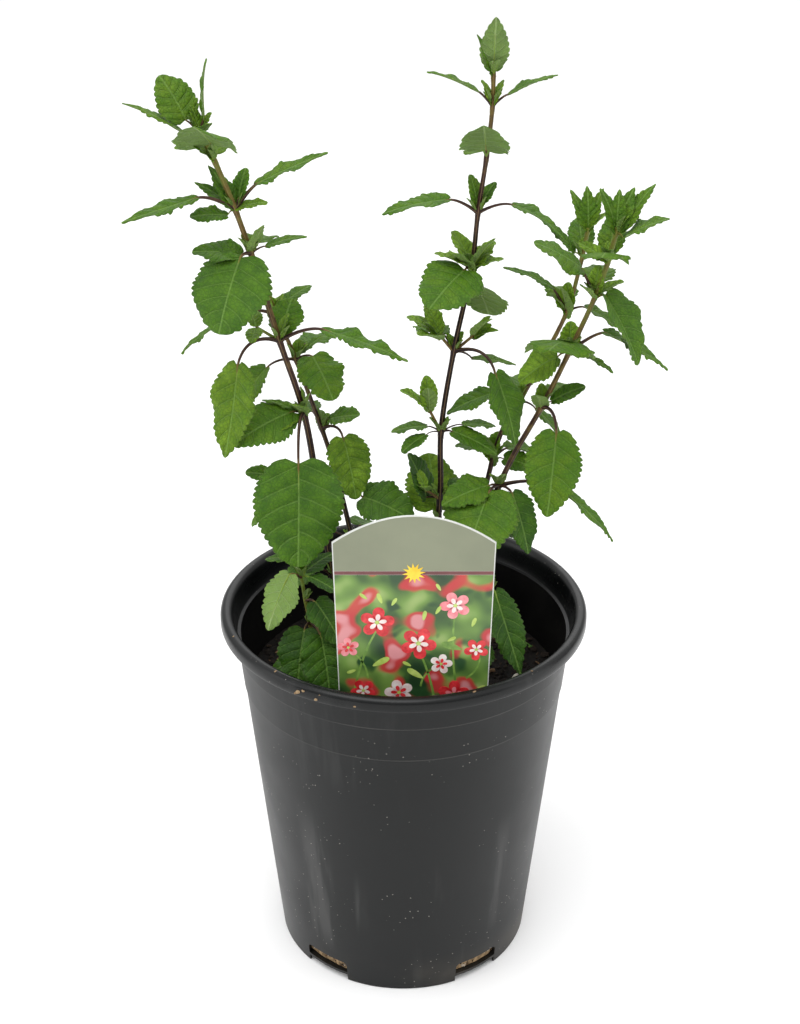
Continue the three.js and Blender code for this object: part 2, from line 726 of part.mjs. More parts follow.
    path: [[18, -8, STEM_FOOT], [22, -7, 140], [29, -4, 180], [38, -1, 222], [46, -2, 245],
      [58, -6, 272], [68, -10, 298], [77, -13, 323], [81, -15, 338], [84, -15, 352]],
    nodes: [
      {
        at: 212,
        leaves: [
          { aim: 340, rise: 10, stalk: 7, dip: -14, blade: 14, wide: 10 },
        ],
      },
      {
        at: 233,
        leaves: [
          { aim: 205, rise: 12, stalk: 5, dip: -12, blade: 24, wide: 17, roll: -24 },
          { aim: 236, rise: 4, stalk: 8, dip: -40, blade: 37, wide: 34, fold: 3, arch: 14, turn: 9 },
          { aim: 345, rise: 3, stalk: 27, dip: -44, blade: 34, wide: 12, turn: 6 },
          { aim: 305, rise: 0, stalk: 9, dip: -64, blade: 28, wide: 17 },
        ],
      },
      {
        at: 272,
        leaves: [
          { aim: 308, rise: -42, stalk: 13, bow: 0.3, dip: -76, blade: 37, wide: 25, turn: -52, arch: 8,
            fold: 5 },
          { aim: 350, rise: 35, stalk: 5, dip: 27, blade: 16, wide: 8, roll: 35 },
          { aim: 55, rise: 20, stalk: 8, dip: -5, blade: 20, wide: 13 },
        ],
        tufts: [{ aim: 170, size: 11, count: 2, dip: 62 }],
      },
      {
        at: 298,
        leaves: [
          { aim: 246, rise: 60, stalk: 7, dip: 10, blade: 24, wide: 30, fold: -8, wave: 0.1 },
          { aim: 178, rise: -22, stalk: 5, dip: -38, blade: 20, wide: 17, roll: -32 },
          { aim: 350, rise: 34, stalk: 17, dip: -29, blade: 31, wide: 13, wave: 0.12 },
          { aim: 335, rise: 0, stalk: 6, dip: -24, blade: 15, wide: 5 },
        ],
        tufts: [{ aim: 165, size: 14, count: 2, dip: 70 }],
      },
      {
        at: 323,
        leaves: [
          { aim: 345, rise: 14, stalk: 4, dip: -58, blade: 32, wide: 23, fold: 24, turn: -20 },
          { aim: 194, rise: 62, stalk: 14, dip: 30, blade: 24, wide: 20, roll: -16, fold: 0 },
          { aim: 80, rise: 30, stalk: 8, dip: 0, blade: 22, wide: 15 },
        ],
        tufts: [{ aim: 130, size: 12, count: 2, dip: 66 }, { aim: 5, size: 12, count: 1, dip: 15 }],
      },
      {
        at: 338,
        leaves: [
          { aim: 256, rise: 60, stalk: 5, dip: 12, blade: 20, wide: 20, fold: -8 },
          { aim: 75, rise: 50, stalk: 4, dip: 40, blade: 20, wide: 12 },
          { aim: 172, dip: 30, blade: 14, wide: 7, roll: -30 },
        ],
      },
      {
        at: 350,
        leaves: [
          { aim: 166, dip: 68, blade: 19, wide: 9, roll: -30 },
          { aim: 84, dip: 78, blade: 17, wide: 8 },
          { aim: 40, dip: 64, blade: 19, wide: 9, roll: 30 },
          { aim: 12, rise: 20, stalk: 3, dip: 56, blade: 22, wide: 9, roll: 20 },
          { aim: 335, rise: -30, stalk: 3.5, dip: 28, blade: 21, wide: 14, roll: 10 },
        ],
      },
    ],
  },
  {
    name: 'leafy_stem_right_back',
    thick: 2.8,
    path: [[22, 11, STEM_FOOT], [25, 11, 140], [30, 11, 180], [36, 11, 224], [43, 11, 254],
      [50, 10, 268], [59, 8, 288], [68, 6, 310], [72, 5, 328], [75, 5, 346]],
    nodes: [
      {
        at: 210,
        leaves: [
          { aim: 60, rise: 30, stalk: 12, dip: -30, blade: 27, wide: 19 },
          { aim: 135, rise: 25, stalk: 10, dip: -25, blade: 24, wide: 16 },
        ],
      },
      {
        at: 240,
        leaves: [
          { aim: 178, rise: 50, stalk: 5, dip: 10, blade: 14, wide: 9 },
          { aim: 25, rise: 30, stalk: 8, dip: -20, blade: 24, wide: 15 },
          { aim: 345, rise: 10, stalk: 5, dip: -14, blade: 17, wide: 13, roll: 24 },
        ],
        tufts: [{ aim: 120, size: 14, count: 3, dip: 64 }],
      },
      {
        at: 268,
        leaves: [
          { aim: 188, rise: 22, stalk: 12, dip: -22, blade: 23, wide: 13, roll: -12 },
          { aim: 352, rise: -25, stalk: 8, dip: -50, blade: 20, wide: 13 },
          { aim: 80, rise: 30, stalk: 8, dip: -10, blade: 23, wide: 15 },
        ],
        tufts: [{ aim: 190, size: 12, count: 1, dip: 50 }],
      },
      {
        at: 310,
        leaves: [
          { aim: 175, rise: 58, stalk: 12, dip: 22, blade: 23, wide: 10 },
          { aim: 350, rise: 17, stalk: 8, dip: -32, blade: 21, wide: 12 },
          { aim: 95, rise: 30, stalk: 7, dip: -5, blade: 22, wide: 15 },
        ],
        tufts: [{ aim: 130, size: 13, count: 3, dip: 66 }],
      },
      {
        at: 334,
        leaves: [
          { aim: 180, rise: 30, stalk: 4, dip: 44, blade: 16, wide: 8, roll: -20 },
          { aim: 90, rise: 40, stalk: 4, dip: 30, blade: 18, wide: 12 },
        ],
      },
      {
        at: 345,
        leaves: [
          { aim: 150, dip: 60, blade: 18, wide: 8, roll: -20 },
          { aim: 95, dip: 76, blade: 18, wide: 8 },
          { aim: 40, dip: 64, blade: 18, wide: 8 },
          { aim: 0, dip: 42, blade: 12, wide: 6 },
        ],
      },
    ],
  },
  {
    name: 'low_shoot_left',
    thick: 2.4,
    path: [[-30, -16, STEM_FOOT + 8], [-34, -22, 140], [-40, -28, 175], [-44, -31, 206]],
    nodes: [
      {
        at: 160,
        leaves: [
          { aim: 190, rise: 20, stalk: 6, dip: -26, blade: 20, wide: 15 },
          { aim: 20, rise: 10, stalk: 6, dip: -30, blade: 22, wide: 16 },
        ],
      },
      {
        at: 180,
        leaves: [
          { aim: 256, rise: 10, stalk: 8, dip: -60, blade: 25, wide: 21 },
          { aim: 292, rise: 8, stalk: 14, dip: -64, blade: 29, wide: 24 },
        ],
      },
      {
        at: 192,
        leaves: [
          { aim: 318, rise: 15, stalk: 6, dip: -46, blade: 23, wide: 19 },
        ],
      },
      {
        at: 204,
        leaves: [
          { aim: 222, rise: 30, stalk: 7, dip: -57, blade: 26, wide: 17, turn: 6, roll: 168 },
          { aim: 45, rise: 30, stalk: 3, dip: 10, blade: 17, wide: 12 },
          { aim: 342, rise: 10, stalk: 4, dip: -24, blade: 14, wide: 10 },
          { aim: 160, rise: 58, stalk: 9, dip: -10, blade: 12, wide: 8 },
        ],
      },
    ],
  },
  {
    name: 'low_shoot_front',
    thick: 2.4,
    path: [[8, -22, STEM_FOOT + 8], [9, -25, 140], [7, -28, 172], [5, -29, 198]],
    nodes: [
      {
        at: 168,
        leaves: [
          { aim: 190, rise: 20, stalk: 7, dip: -30, blade: 24, wide: 17 },
          { aim: 10, rise: 20, stalk: 5, dip: -30, blade: 17, wide: 14 },
        ],
      },
      {
        at: 195,
        leaves: [
          { aim: 265, rise: 20, stalk: 4, dip: 5, blade: 20, wide: 15 },
          { aim: 110, rise: 20, stalk: 4, dip: 10, blade: 20, wide: 14 },
        ],
      },
    ],
  },
  {
    name: 'low_shoot_right',
    thick: 2.4,
    path: [[33, -16, STEM_FOOT + 8], [36, -19, 140], [37, -22, 170], [38, -24, 196]],
    nodes: [
      {
        at: 165,
        leaves: [
          { aim: 30, rise: 20, stalk: 6, dip: -30, blade: 22, wide: 15 },
          { aim: 250, rise: 20, stalk: 5, dip: -30, blade: 20, wide: 14 },
        ],
      },
      {
        at: 194,
        leaves: [
          { aim: 300, rise: 0, stalk: 3, dip: -56, blade: 38, wide: 18, arch: 6 },
          { aim: 120, rise: 30, stalk: 3, dip: -10, blade: 20, wide: 14 },
        ],
      },
    ],
  },
];

const plant = new THREE.Group();
plant.name = 'potted_hot_lips_sage';
plant.add(meshOfSolid('nursery_pot', makePot(), slots.pot));

let mix = makeMixBody().subtract(makeLabel(FIT));
stems.forEach((stem) => {
  mix = mix.subtract(makeStemHole(stem));
});
plant.add(meshOfSolid('potting_mix', mix, slots.mix));
plant.add(meshOfSolid('plant_label', makeLabel(0), slots.label));

stems.forEach((stem, i) => {
  plant.add(meshOfSolid(stem.name, makeLeafyStem(stem, seeded(LEAF_SEED + 17 * i)), slots.leaf));
});

export default plant;
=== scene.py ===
import math
import random

import bpy
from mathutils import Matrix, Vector, noise


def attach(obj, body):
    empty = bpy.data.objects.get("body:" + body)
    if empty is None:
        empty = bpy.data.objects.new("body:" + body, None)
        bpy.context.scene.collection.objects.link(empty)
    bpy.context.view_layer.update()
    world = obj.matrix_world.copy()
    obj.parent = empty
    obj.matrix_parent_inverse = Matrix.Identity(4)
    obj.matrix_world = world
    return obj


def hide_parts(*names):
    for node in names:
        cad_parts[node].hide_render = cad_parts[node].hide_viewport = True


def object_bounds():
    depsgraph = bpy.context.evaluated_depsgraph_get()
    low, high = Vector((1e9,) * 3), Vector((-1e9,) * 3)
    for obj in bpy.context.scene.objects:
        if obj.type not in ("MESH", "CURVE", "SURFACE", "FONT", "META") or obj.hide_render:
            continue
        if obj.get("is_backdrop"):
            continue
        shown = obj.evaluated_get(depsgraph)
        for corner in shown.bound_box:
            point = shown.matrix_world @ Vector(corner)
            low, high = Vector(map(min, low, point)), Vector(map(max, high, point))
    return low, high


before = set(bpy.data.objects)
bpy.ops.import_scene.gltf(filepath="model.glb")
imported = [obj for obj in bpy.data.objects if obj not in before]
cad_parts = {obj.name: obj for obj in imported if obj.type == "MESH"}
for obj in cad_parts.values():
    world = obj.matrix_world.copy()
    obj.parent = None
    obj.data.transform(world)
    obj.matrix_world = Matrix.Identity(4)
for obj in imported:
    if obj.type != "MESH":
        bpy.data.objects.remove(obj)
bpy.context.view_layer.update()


# The camera stands where the photograph was taken: 0.62 m in front of the pot's
# axis and 0.53 m up, looking down at 26.5 degrees.
CAMERA_DOWN = 0.463
camera_lens = bpy.data.cameras.new("photo_view")
camera_lens.sensor_width = 36
camera_lens.lens = 55.4
camera_lens.clip_start = 0.05
camera_lens.clip_end = 40
photo_camera = bpy.data.objects.new("photo_view", camera_lens)
photo_camera.location = (-0.0016, -0.6193, 0.5287)
photo_camera.rotation_euler = (math.pi / 2 - CAMERA_DOWN, 0, 0)
bpy.context.scene.collection.objects.link(photo_camera)
bpy.context.scene.camera = photo_camera


# The studio: a wide white floor of matt card that fills the view, four soft
# boxes (overhead, at both sides and behind) and a pale room, brighter above.
LAMPS_AIM = Vector((0, 0, 0.22))


class Nodes:
    """A node tree, with the few steps that all the looks here are made of."""

    def __init__(self, tree, skin=None):
        self.tree, self.skin = tree, skin

    def feed(self, socket, value):
        """Puts a constant into a socket, or wires another socket to it."""
        if isinstance(value, bpy.types.NodeSocket):
            self.tree.links.new(value, socket)
        else:
            socket.default_value = value

    def surface(self, name, value):
        """Feeds one of the values of the surface itself."""
        self.feed(self.skin.inputs[name], value)

    def add(self, kind, settings=None, **values):
        """A shader node with its settings and its named sockets filled in."""
        node = self.tree.nodes.new("ShaderNode" + kind)
        for setting, value in (settings or {}).items():
            setattr(node, setting, value)
        for socket, value in values.items():
            self.feed(node.inputs[socket.replace("_", " ")], value)
        return node

    def place(self, group, **values):
        """Places a node group with its own values."""
        node = self.add("Group", {"node_tree": group.tree}, **values)
        return node.outputs

    def calc(self, operation, *values, clamp=False):
        """One step of arithmetic."""
        node = self.add("Math", {"operation": operation, "use_clamp": clamp})
        for socket, value in zip(node.inputs, values):
            self.feed(socket, value)
        return node.outputs[0]

    def mul(self, first, second):
        """One number times another."""
        return self.calc("MULTIPLY", first, second)

    def ease(self, value, low, high, at_low=0.0, at_high=1.0):
        """A soft step from at_low to at_high as value goes from low to high."""
        node = self.add("MapRange", {"interpolation_type": "SMOOTHSTEP"}, Value=value)
        for socket, number in zip(node.inputs[1:5], (low, high, at_low, at_high)):
            self.feed(socket, number)
        return node.outputs[0]

    def tint(self, amount, under, over, share=None):
        """Lays the colour over on the colour under, as far as amount, or a share of it, says."""
        if share:
            amount = self.mul(amount, share)
        node = self.add("Mix", {"data_type": "RGBA"})
        for socket, value in zip((node.inputs[0], *node.inputs[6:8]), (amount, under, over)):
            self.feed(socket, (*value, 1) if isinstance(value, tuple) else value)
        return node.outputs[2]

    def shades(self, amount, *stops):
        """A row of colours, each given with its place from 0 to 1."""
        node = self.add("ValToRGB", Fac=amount)
        row = node.color_ramp.elements
        row[0].position, row[-1].position = stops[0][0], stops[-1][0]
        row[0].color, row[-1].color = (*stops[0][1], 1), (*stops[-1][1], 1)
        for place, colour in stops[1:-1]:
            row.new(place).color = (*colour, 1)
        return node.outputs["Color"]

    def split(self, vector):
        """The three numbers of a vector."""
        return self.add("SeparateXYZ", Vector=vector).outputs

    def mark(self, name):
        """The three numbers that keep_mark left at each point."""
        return self.split(self.add("Attribute", {"attribute_name": name}).outputs["Vector"])

    def here(self):
        """The place on the piece, in metres."""
        return self.add("TexCoord").outputs["Object"]

    def noise(self, where, scale, detail, **more):
        """A soft cloudy pattern."""
        made = self.add("TexNoise", Vector=where, Scale=scale, Detail=detail, **more)
        return made.outputs["Fac"]

    def relief(self, height, depth, strength):
        """Fine relief of that depth in metres, from a height from 0 to 1."""
        bump = self.add("Bump", Height=height, Distance=depth, Strength=strength)
        self.surface("Normal", bump.outputs["Normal"])


def start_material(name, **constants):
    """A material whose Principled shader has its plain values set, and its nodes."""
    material = bpy.data.materials.new(name)
    material.use_nodes = True
    skin = material.node_tree.nodes["Principled BSDF"]
    for socket, value in constants.items():
        skin.inputs[socket.replace("_", " ")].default_value = value
    return material, Nodes(material.node_tree, skin)


def make_mesh(name, points, faces, materials, paint=None, smooth_to=35):
    """An object from points in millimetres, smooth except over edges sharper than smooth_to."""
    mesh = bpy.data.meshes.new(name)
    mesh.from_pydata([(x / 1000, y / 1000, z / 1000) for x, y, z in points], [], faces)
    for material in materials:
        mesh.materials.append(material)
    if paint:
        mesh.polygons.foreach_set("material_index", paint)
    if smooth_to:
        mesh.shade_smooth()
        mesh.set_sharp_from_angle(angle=math.radians(smooth_to))
    else:
        mesh.shade_flat()
    mesh.update()
    made = bpy.data.objects.new(name, mesh)
    bpy.context.scene.collection.objects.link(made)
    return made


def keep_mark(made, name, values):
    """Keeps three numbers at each point for the material to read."""
    mark = made.data.attributes.new(name, "FLOAT_VECTOR", "POINT")
    mark.data.foreach_set("vector", [number for value in values for number in value])


floor_card, card = start_material("white_card", Roughness=0.9, Specular_IOR_Level=0.1)
card_grain = card.add("TexNoise", Scale=3.0, Detail=2.0)
card.surface("Base Color", card.shades(card_grain.outputs["Fac"], (0.3, (0.93, 0.93, 0.93)),
                                       (0.7, (0.95, 0.95, 0.95))))
floor = make_mesh(
    "studio_floor",
    [(-9000, -5000, 0), (9000, -5000, 0), (9000, 13000, 0), (-9000, 13000, 0)],
    [(0, 1, 2, 3)], [floor_card])
floor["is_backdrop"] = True

for lamp_name, place, size, watts in (
        ("soft_box_overhead", (-0.35, -0.75, 1.9), (1.6, 1.3), 17),
        ("soft_box_left", (-1.75, -0.35, 0.75), (1.1, 1.5), 7),
        ("soft_box_right", (1.75, -0.3, 0.7), (1.0, 1.5), 6),
        ("soft_box_behind", (0.2, 1.7, 1.3), (1.8, 0.9), 6)):
    lamp_data = bpy.data.lights.new(lamp_name, "AREA")
    lamp_data.shape = "RECTANGLE"
    lamp_data.size, lamp_data.size_y = size
    lamp_data.energy = watts
    lamp = bpy.data.objects.new(lamp_name, lamp_data)
    lamp.location = place
    lamp.rotation_euler = (LAMPS_AIM - Vector(place)).to_track_quat("-Z", "Y").to_euler()
    bpy.context.scene.collection.objects.link(lamp)

room = bpy.data.worlds.new("pale_room")
room.use_nodes = True
air = Nodes(room.node_tree, room.node_tree.nodes["Background"])
air.surface("Color", (1, 1, 1, 1))
air_way = air.split(air.add("TexCoord").outputs["Generated"])
air.surface("Strength", air.ease(air_way["Z"], -0.05, 0.85, 0.42, 1.2))
bpy.context.scene.world = room
bpy.context.scene.view_settings.view_transform = "Standard"


# The nursery pot: thin black polythene, blow moulded in one piece, with a
# rolled lip, two fine steps under it and five drain notches round the foot.
# The wall is 1.4 mm thick and tapers from 153 mm under the lip to 119 mm.
POT_WALL = 1.4
POT_FOOT_RADIUS = 59.6
POT_STEP_DEPTH = 0.4
POT_SLOPE = (76.5 - 2 * POT_STEP_DEPTH - POT_FOOT_RADIUS) / 168.4
POT_STEPS = (156, 139)
POT_AROUND = 240
NOTCH_WIDTH, NOTCH_TOP, NOTCH_CORNER = 23, 11, 2.3
NOTCH_COUNT, FIRST_NOTCH = 5, 305
CUT_FROM, UNDER_FLOOR_FROM, CUT_TO = 54, 56.5, 68


def pot_inside(z):
    """Radius of the pot's inner wall at a height, in millimetres."""
    return POT_FOOT_RADIUS - POT_WALL + POT_SLOPE * z


def pot_outside(z):
    """Radius of the pot's outer wall, which steps in by 0.4 mm under each fine step."""
    steps_under = 2 - sum(z < step for step in POT_STEPS)
    return POT_FOOT_RADIUS + POT_STEP_DEPTH * steps_under + POT_SLOPE * z


def turn_profile(profile, around):
    """Points and faces of a closed shape turned on the pot's own axis, its ends on the axis."""
    points = [(0, 0, profile[0][1])]
    for radius, z in profile[1:-1]:
        for i in range(around):
            a = 2 * math.pi * i / around
            points.append((radius * math.cos(a), radius * math.sin(a), z))
    points.append((0, 0, profile[-1][1]))
    faces = []
    rows = len(profile) - 2
    for i in range(around):
        j = (i + 1) % around
        faces.append((0, 1 + j, 1 + i))
        for row in range(rows - 1):
            low, high = 1 + row * around, 1 + (row + 1) * around
            faces.append((low + i, low + j, high + j, high + i))
        last = 1 + (rows - 1) * around
        faces.append((last + i, last + j, len(points) - 1))
    return points, faces


lip = [(76.35, 167.9), (76.5, 168.4), (76.75, 168.85), (77.2, 169.0), (79.5, 169.0),
       (81.7, 169.0), (82.25, 169.2), (82.5, 169.7), (82.5, 171.2), (82.45, 172.6),
       (82.2, 173.5), (81.7, 174.2), (80.9, 174.75), (79.9, 175.0), (78.9, 174.9),
       (78.1, 174.5), (77.4, 173.7), (76.9, 172.6), (76.5, 170.5), (75.9, 166.5),
       (75.5, 163.9), (75.2, 163.3), (pot_inside(163), 163.0)]
wall = [(pot_inside(0) + 0.4, 0.0), (pot_outside(0) - 0.4, 0.0), (pot_outside(0.4), 0.4)]
wall += [(pot_outside(z), z) for z in (12, 30, 50, 70, 90, 110, 130, 138.2)]
wall += [(pot_outside(138.6) + 0.05, 138.7), (pot_outside(139), 139.0), (pot_outside(140), 140.2)]
wall += [(pot_outside(z), z) for z in (148, 155.2)]
wall += [(pot_outside(155.6) + 0.05, 155.7), (pot_outside(156), 156.0), (pot_outside(157), 157.2)]
wall += [(pot_outside(163), 163.0)]
inside = [(pot_inside(z), z) for z in (162.4, 140, 100, 60, 20, 6.2)]
pot_points, pot_faces = turn_profile(
    [(0, 3.5), (pot_inside(3.5) - 0.6, 3.5), (pot_inside(3.1), 3.1)] + wall + lip + inside
    + [(pot_inside(5.2) - 0.9, 5.0), (0, 5.0)], POT_AROUND)


def notch_outline():
    """The drain notch as seen from outside: its upper corners are rounded."""
    half = NOTCH_WIDTH / 2
    outline = [(half, 5.0)]
    for i in range(7):
        a = math.pi / 2 * i / 6
        outline.append((half - NOTCH_CORNER + NOTCH_CORNER * math.cos(a),
                        NOTCH_TOP - NOTCH_CORNER + NOTCH_CORNER * math.sin(a)))
    return outline + [(-x, z) for x, z in reversed(outline)]


def box_through_wall(outline, azimuth, near, far):
    """A cutter: the outline pushed through the wall along one heading."""
    a = math.radians(azimuth)
    points = [(r * math.cos(a) - x * math.sin(a), r * math.sin(a) + x * math.cos(a), z)
              for r in (near, far) for x, z in outline]
    n = len(outline)
    faces = [tuple(range(n - 1, -1, -1)), tuple(range(n, 2 * n))]
    faces += [(i, (i + 1) % n, (i + 1) % n + n, i + n) for i in range(n)]
    return make_mesh("notch_cutter", points, faces, [], smooth_to=0)


black_plastic, plastic = start_material("black_nursery_plastic", Specular_IOR_Level=0.28)
# The inside of the pot is the same plastic made darker and duller: painted shade for the shadow
# inside the pot.
shaded_inner_plastic, inner = start_material("black_plastic_inside_painted_shade", Specular_IOR_Level=0.1)
outer_rows = len(wall) + len(lip) + 2
pot_paint = ([0] * outer_rows + [1] * (len(pot_faces) // POT_AROUND - outer_rows)) * POT_AROUND
pot = make_mesh("nursery_pot_shell", pot_points, pot_faces, [black_plastic, shaded_inner_plastic],
                pot_paint)
cutters = []
notch_side = NOTCH_WIDTH / 2
under_floor = [(notch_side, -3), (notch_side, 3.5), (-notch_side, 3.5), (-notch_side, -3)]
for i in range(NOTCH_COUNT):
    azimuth = FIRST_NOTCH - 360 / NOTCH_COUNT * i
    cutters.append(box_through_wall(notch_outline(), azimuth, CUT_FROM, CUT_TO))
    cutters.append(box_through_wall(under_floor, azimuth, UNDER_FLOOR_FROM, CUT_TO))
for cutter in cutters:
    cut = pot.modifiers.new("notch", "BOOLEAN")
    cut.object, cut.operation, cut.solver = cutter, "DIFFERENCE", "EXACT"
bpy.context.view_layer.update()
carved = bpy.data.meshes.new_from_object(pot.evaluated_get(bpy.context.evaluated_depsgraph_get()))
pot.modifiers.clear()
pot.data = carved
carved.shade_smooth()
carved.set_sharp_from_angle(angle=math.radians(35))
for cutter in cutters:
    bpy.data.objects.remove(cutter)


def start_group(name, takes, gives):
    """A shader node group with named number inputs and outputs."""
    group = bpy.data.node_groups.new(name, "ShaderNodeTree")
    for socket, value in takes.items():
        made = group.interface.new_socket(socket, in_out="INPUT", socket_type="NodeSocketFloat")
        made.default_value = value
    for socket in gives:
        group.interface.new_socket(socket, in_out="OUTPUT", socket_type="NodeSocketFloat")
    return (Nodes(group), group.nodes.new("NodeGroupInput").outputs,
            group.nodes.new("NodeGroupOutput").inputs)


# Dust and mottling over plastic, mix, label and leaves: soft clouds and sparse specks
dust_group, dust_in, dust_out = start_group(
    "dust_and_mottle", {"Cloud Scale": 40.0, "Speck Scale": 400.0, "Speck Size": 0.1},
    ("Cloud", "Specks"))
dust_place = dust_group.here()
cloud = dust_group.noise(dust_place, dust_in["Cloud Scale"], 5.0)
grit = dust_group.add("TexVoronoi", Vector=dust_place, Scale=dust_in["Speck Scale"])
patches = dust_group.noise(dust_place, 31.0, 3.0)
small_enough = dust_group.calc("LESS_THAN", grit.outputs["Distance"], dust_in["Speck Size"])
dust_group.feed(dust_out["Cloud"], cloud)
dust_group.feed(dust_out["Specks"],
                dust_group.mul(small_enough, dust_group.ease(patches, 0.5, 0.62)))


def dust(nodes, cloud_scale, speck_scale, speck_size):
    """Places the dust and mottle group."""
    return nodes.place(dust_group, Cloud_Scale=cloud_scale, Speck_Scale=speck_scale,
                       Speck_Size=speck_size)


plastic_place = plastic.here()
plastic_parts = plastic.split(plastic_place)
plastic_height = plastic_parts["Z"]
plastic_dust = dust(plastic, 22.0, 360.0, 0.1)
stretched = plastic.add("Mapping", Vector=plastic_place, Scale=(1, 1, 0.06))
streaks = plastic.noise(stretched.outputs[0], 130.0, 3.0)
streak_where = plastic.noise(plastic_place, 14.0, 1.0)
smears_and_highlights = plastic.mul(plastic.ease(streaks, 0.5, 0.68, 0.0, 0.22),
                     plastic.ease(streak_where, 0.46, 0.62))
round_front = plastic.calc("ARCTAN2", plastic_parts["X"], plastic.mul(plastic_parts["Y"], -1.0))
# Painted highlights: three pale vertical streaks on the lower wall, to the left, to the right and
# just left of the front, laid over the dust smears.
SIDE_HIGHLIGHT_STREAKS = ((-0.64, 0.17, 0.012, 0.108), (0.72, 0.09, 0.02, 0.1), (-0.3, 0.06, 0.03, 0.075))
for middle, half, low, high in SIDE_HIGHLIGHT_STREAKS:
    beside = plastic.calc("ABSOLUTE", plastic.calc("SUBTRACT", round_front, middle))
    highlight_streak = plastic.mul(plastic.ease(plastic_height, low, low + 0.02),
                        plastic.ease(plastic_height, high - 0.035, high, 1.0, 0.0))
    highlight_streak = plastic.mul(plastic.ease(beside, half * 0.3, half, 1.0, 0.0), highlight_streak)
    smears_and_highlights = plastic.calc("MAXIMUM", smears_and_highlights,
                          plastic.mul(highlight_streak, plastic.ease(streaks, 0.42, 0.62, 0.12, 1.0)))
foot_dust = plastic.mul(plastic.ease(plastic_height, 0.001, 0.022, 1.0, 0.0),
                        plastic.ease(plastic_dust["Cloud"], 0.4, 0.7))
plastic_colour = plastic.shades(plastic_dust["Cloud"], (0.3, (0.003, 0.0036, 0.0037)),
                                (0.7, (0.0062, 0.007, 0.007)))
# The dust smears and the painted highlight streaks lighten the plastic's colour.
plastic_colour = plastic.tint(smears_and_highlights, plastic_colour, (0.11, 0.11, 0.108), 0.42)
# Painted highlight: a thin pale line along each fine step, where its edge would catch the light,
# mottled by the dust clouds.
for step in POT_STEPS:
    off_step = plastic.calc("ABSOLUTE",
                            plastic.calc("SUBTRACT", plastic_height, (step - 0.1) / 1000))
    step_highlight = plastic.mul(plastic.ease(off_step, 0.0001, 0.0006, 1.0, 0.0),
                            plastic.ease(plastic_dust["Cloud"], 0.3, 0.6, 0.15, 0.5))
    plastic_colour = plastic.tint(step_highlight, plastic_colour, (0.09, 0.088, 0.08))
plastic_colour = plastic.tint(foot_dust, plastic_colour, (0.13, 0.11, 0.085), 0.3)
plastic_colour = plastic.tint(plastic_dust["Specks"], plastic_colour, (0.3, 0.28, 0.25), 0.75)
plastic.surface("Base Color", plastic_colour)
plastic_rough = plastic.calc("ADD", plastic.ease(plastic_dust["Cloud"], 0.3, 0.7, 0.36, 0.46),
                             plastic.ease(plastic_height, 0.162, 0.169, 0.0, -0.12))
plastic.surface("Roughness", plastic.calc("ADD", plastic_rough, plastic.mul(smears_and_highlights, 0.12)))
moulding = plastic.noise(plastic_place, 900.0, 2.0)
plastic.relief(moulding, 0.00004, 0.35)

# Painted shade: the inside's colour is darker than the outside's, with dust specks on it.
inner_dust = dust(inner, 35.0, 420.0, 0.13)
inner_shade_colour = inner.shades(inner_dust["Cloud"], (0.3, (0.0016, 0.0016, 0.0016)),
                            (0.7, (0.006, 0.0055, 0.005)))
inner_shade_colour = inner.tint(inner_dust["Specks"], inner_shade_colour, (0.07, 0.055, 0.04), 0.6)
inner.surface("Base Color", inner_shade_colour)
inner.surface("Roughness", inner.ease(inner_dust["Cloud"], 0.3, 0.7, 0.5, 0.65))
inner.relief(inner_dust["Cloud"], 0.0001, 0.3)
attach(pot, "root")
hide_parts("nursery_pot")


# The potting mix: composted bark and peat with a few grains of perlite,
# poured in round the roots and pressed down by hand. Its colour is nearly
# black on top, deepened there into painted shade for the inside of the pot,
# and turns paler and woody toward the foot, where the notches show it:
# partly the bark's own tan, partly painted light.
MIX_TOP = 137
MIX_FOOT = 5.3
EDGE_DROP = 1.5
MIX_AROUND, MIX_RINGS, MIX_ROWS = 180, 50, 26
TOP_BITS, NOTCH_BITS = 1900, 330
PERLITE, DRY_BARK = 0.985, 0.93


def mix_height(x, y):
    """Height of the mix: a low crown in the middle, with gentle heaps and hollows."""
    crown = 3.2 * math.exp(-(x * x + y * y) / 900)
    heaps = 1.3 * math.sin(x * 0.085 + 0.7) * math.cos(y * 0.074 - 0.4)
    lumps = 0.8 * math.sin(x * 0.21 - y * 0.17 + 1.1)
    return MIX_TOP - 1 + crown + heaps + lumps


def mix_crumbs(x, y, z):
    """The rough surface of the mix, from coarse lumps to fine crumbs."""
    coarse = noise.noise(Vector((x / 6, y / 6, z / 6)))
    middle = noise.noise(Vector((x / 2.6, y / 2.6, z / 2.6 + 9)))
    return 1.1 * coarse + 0.8 * middle


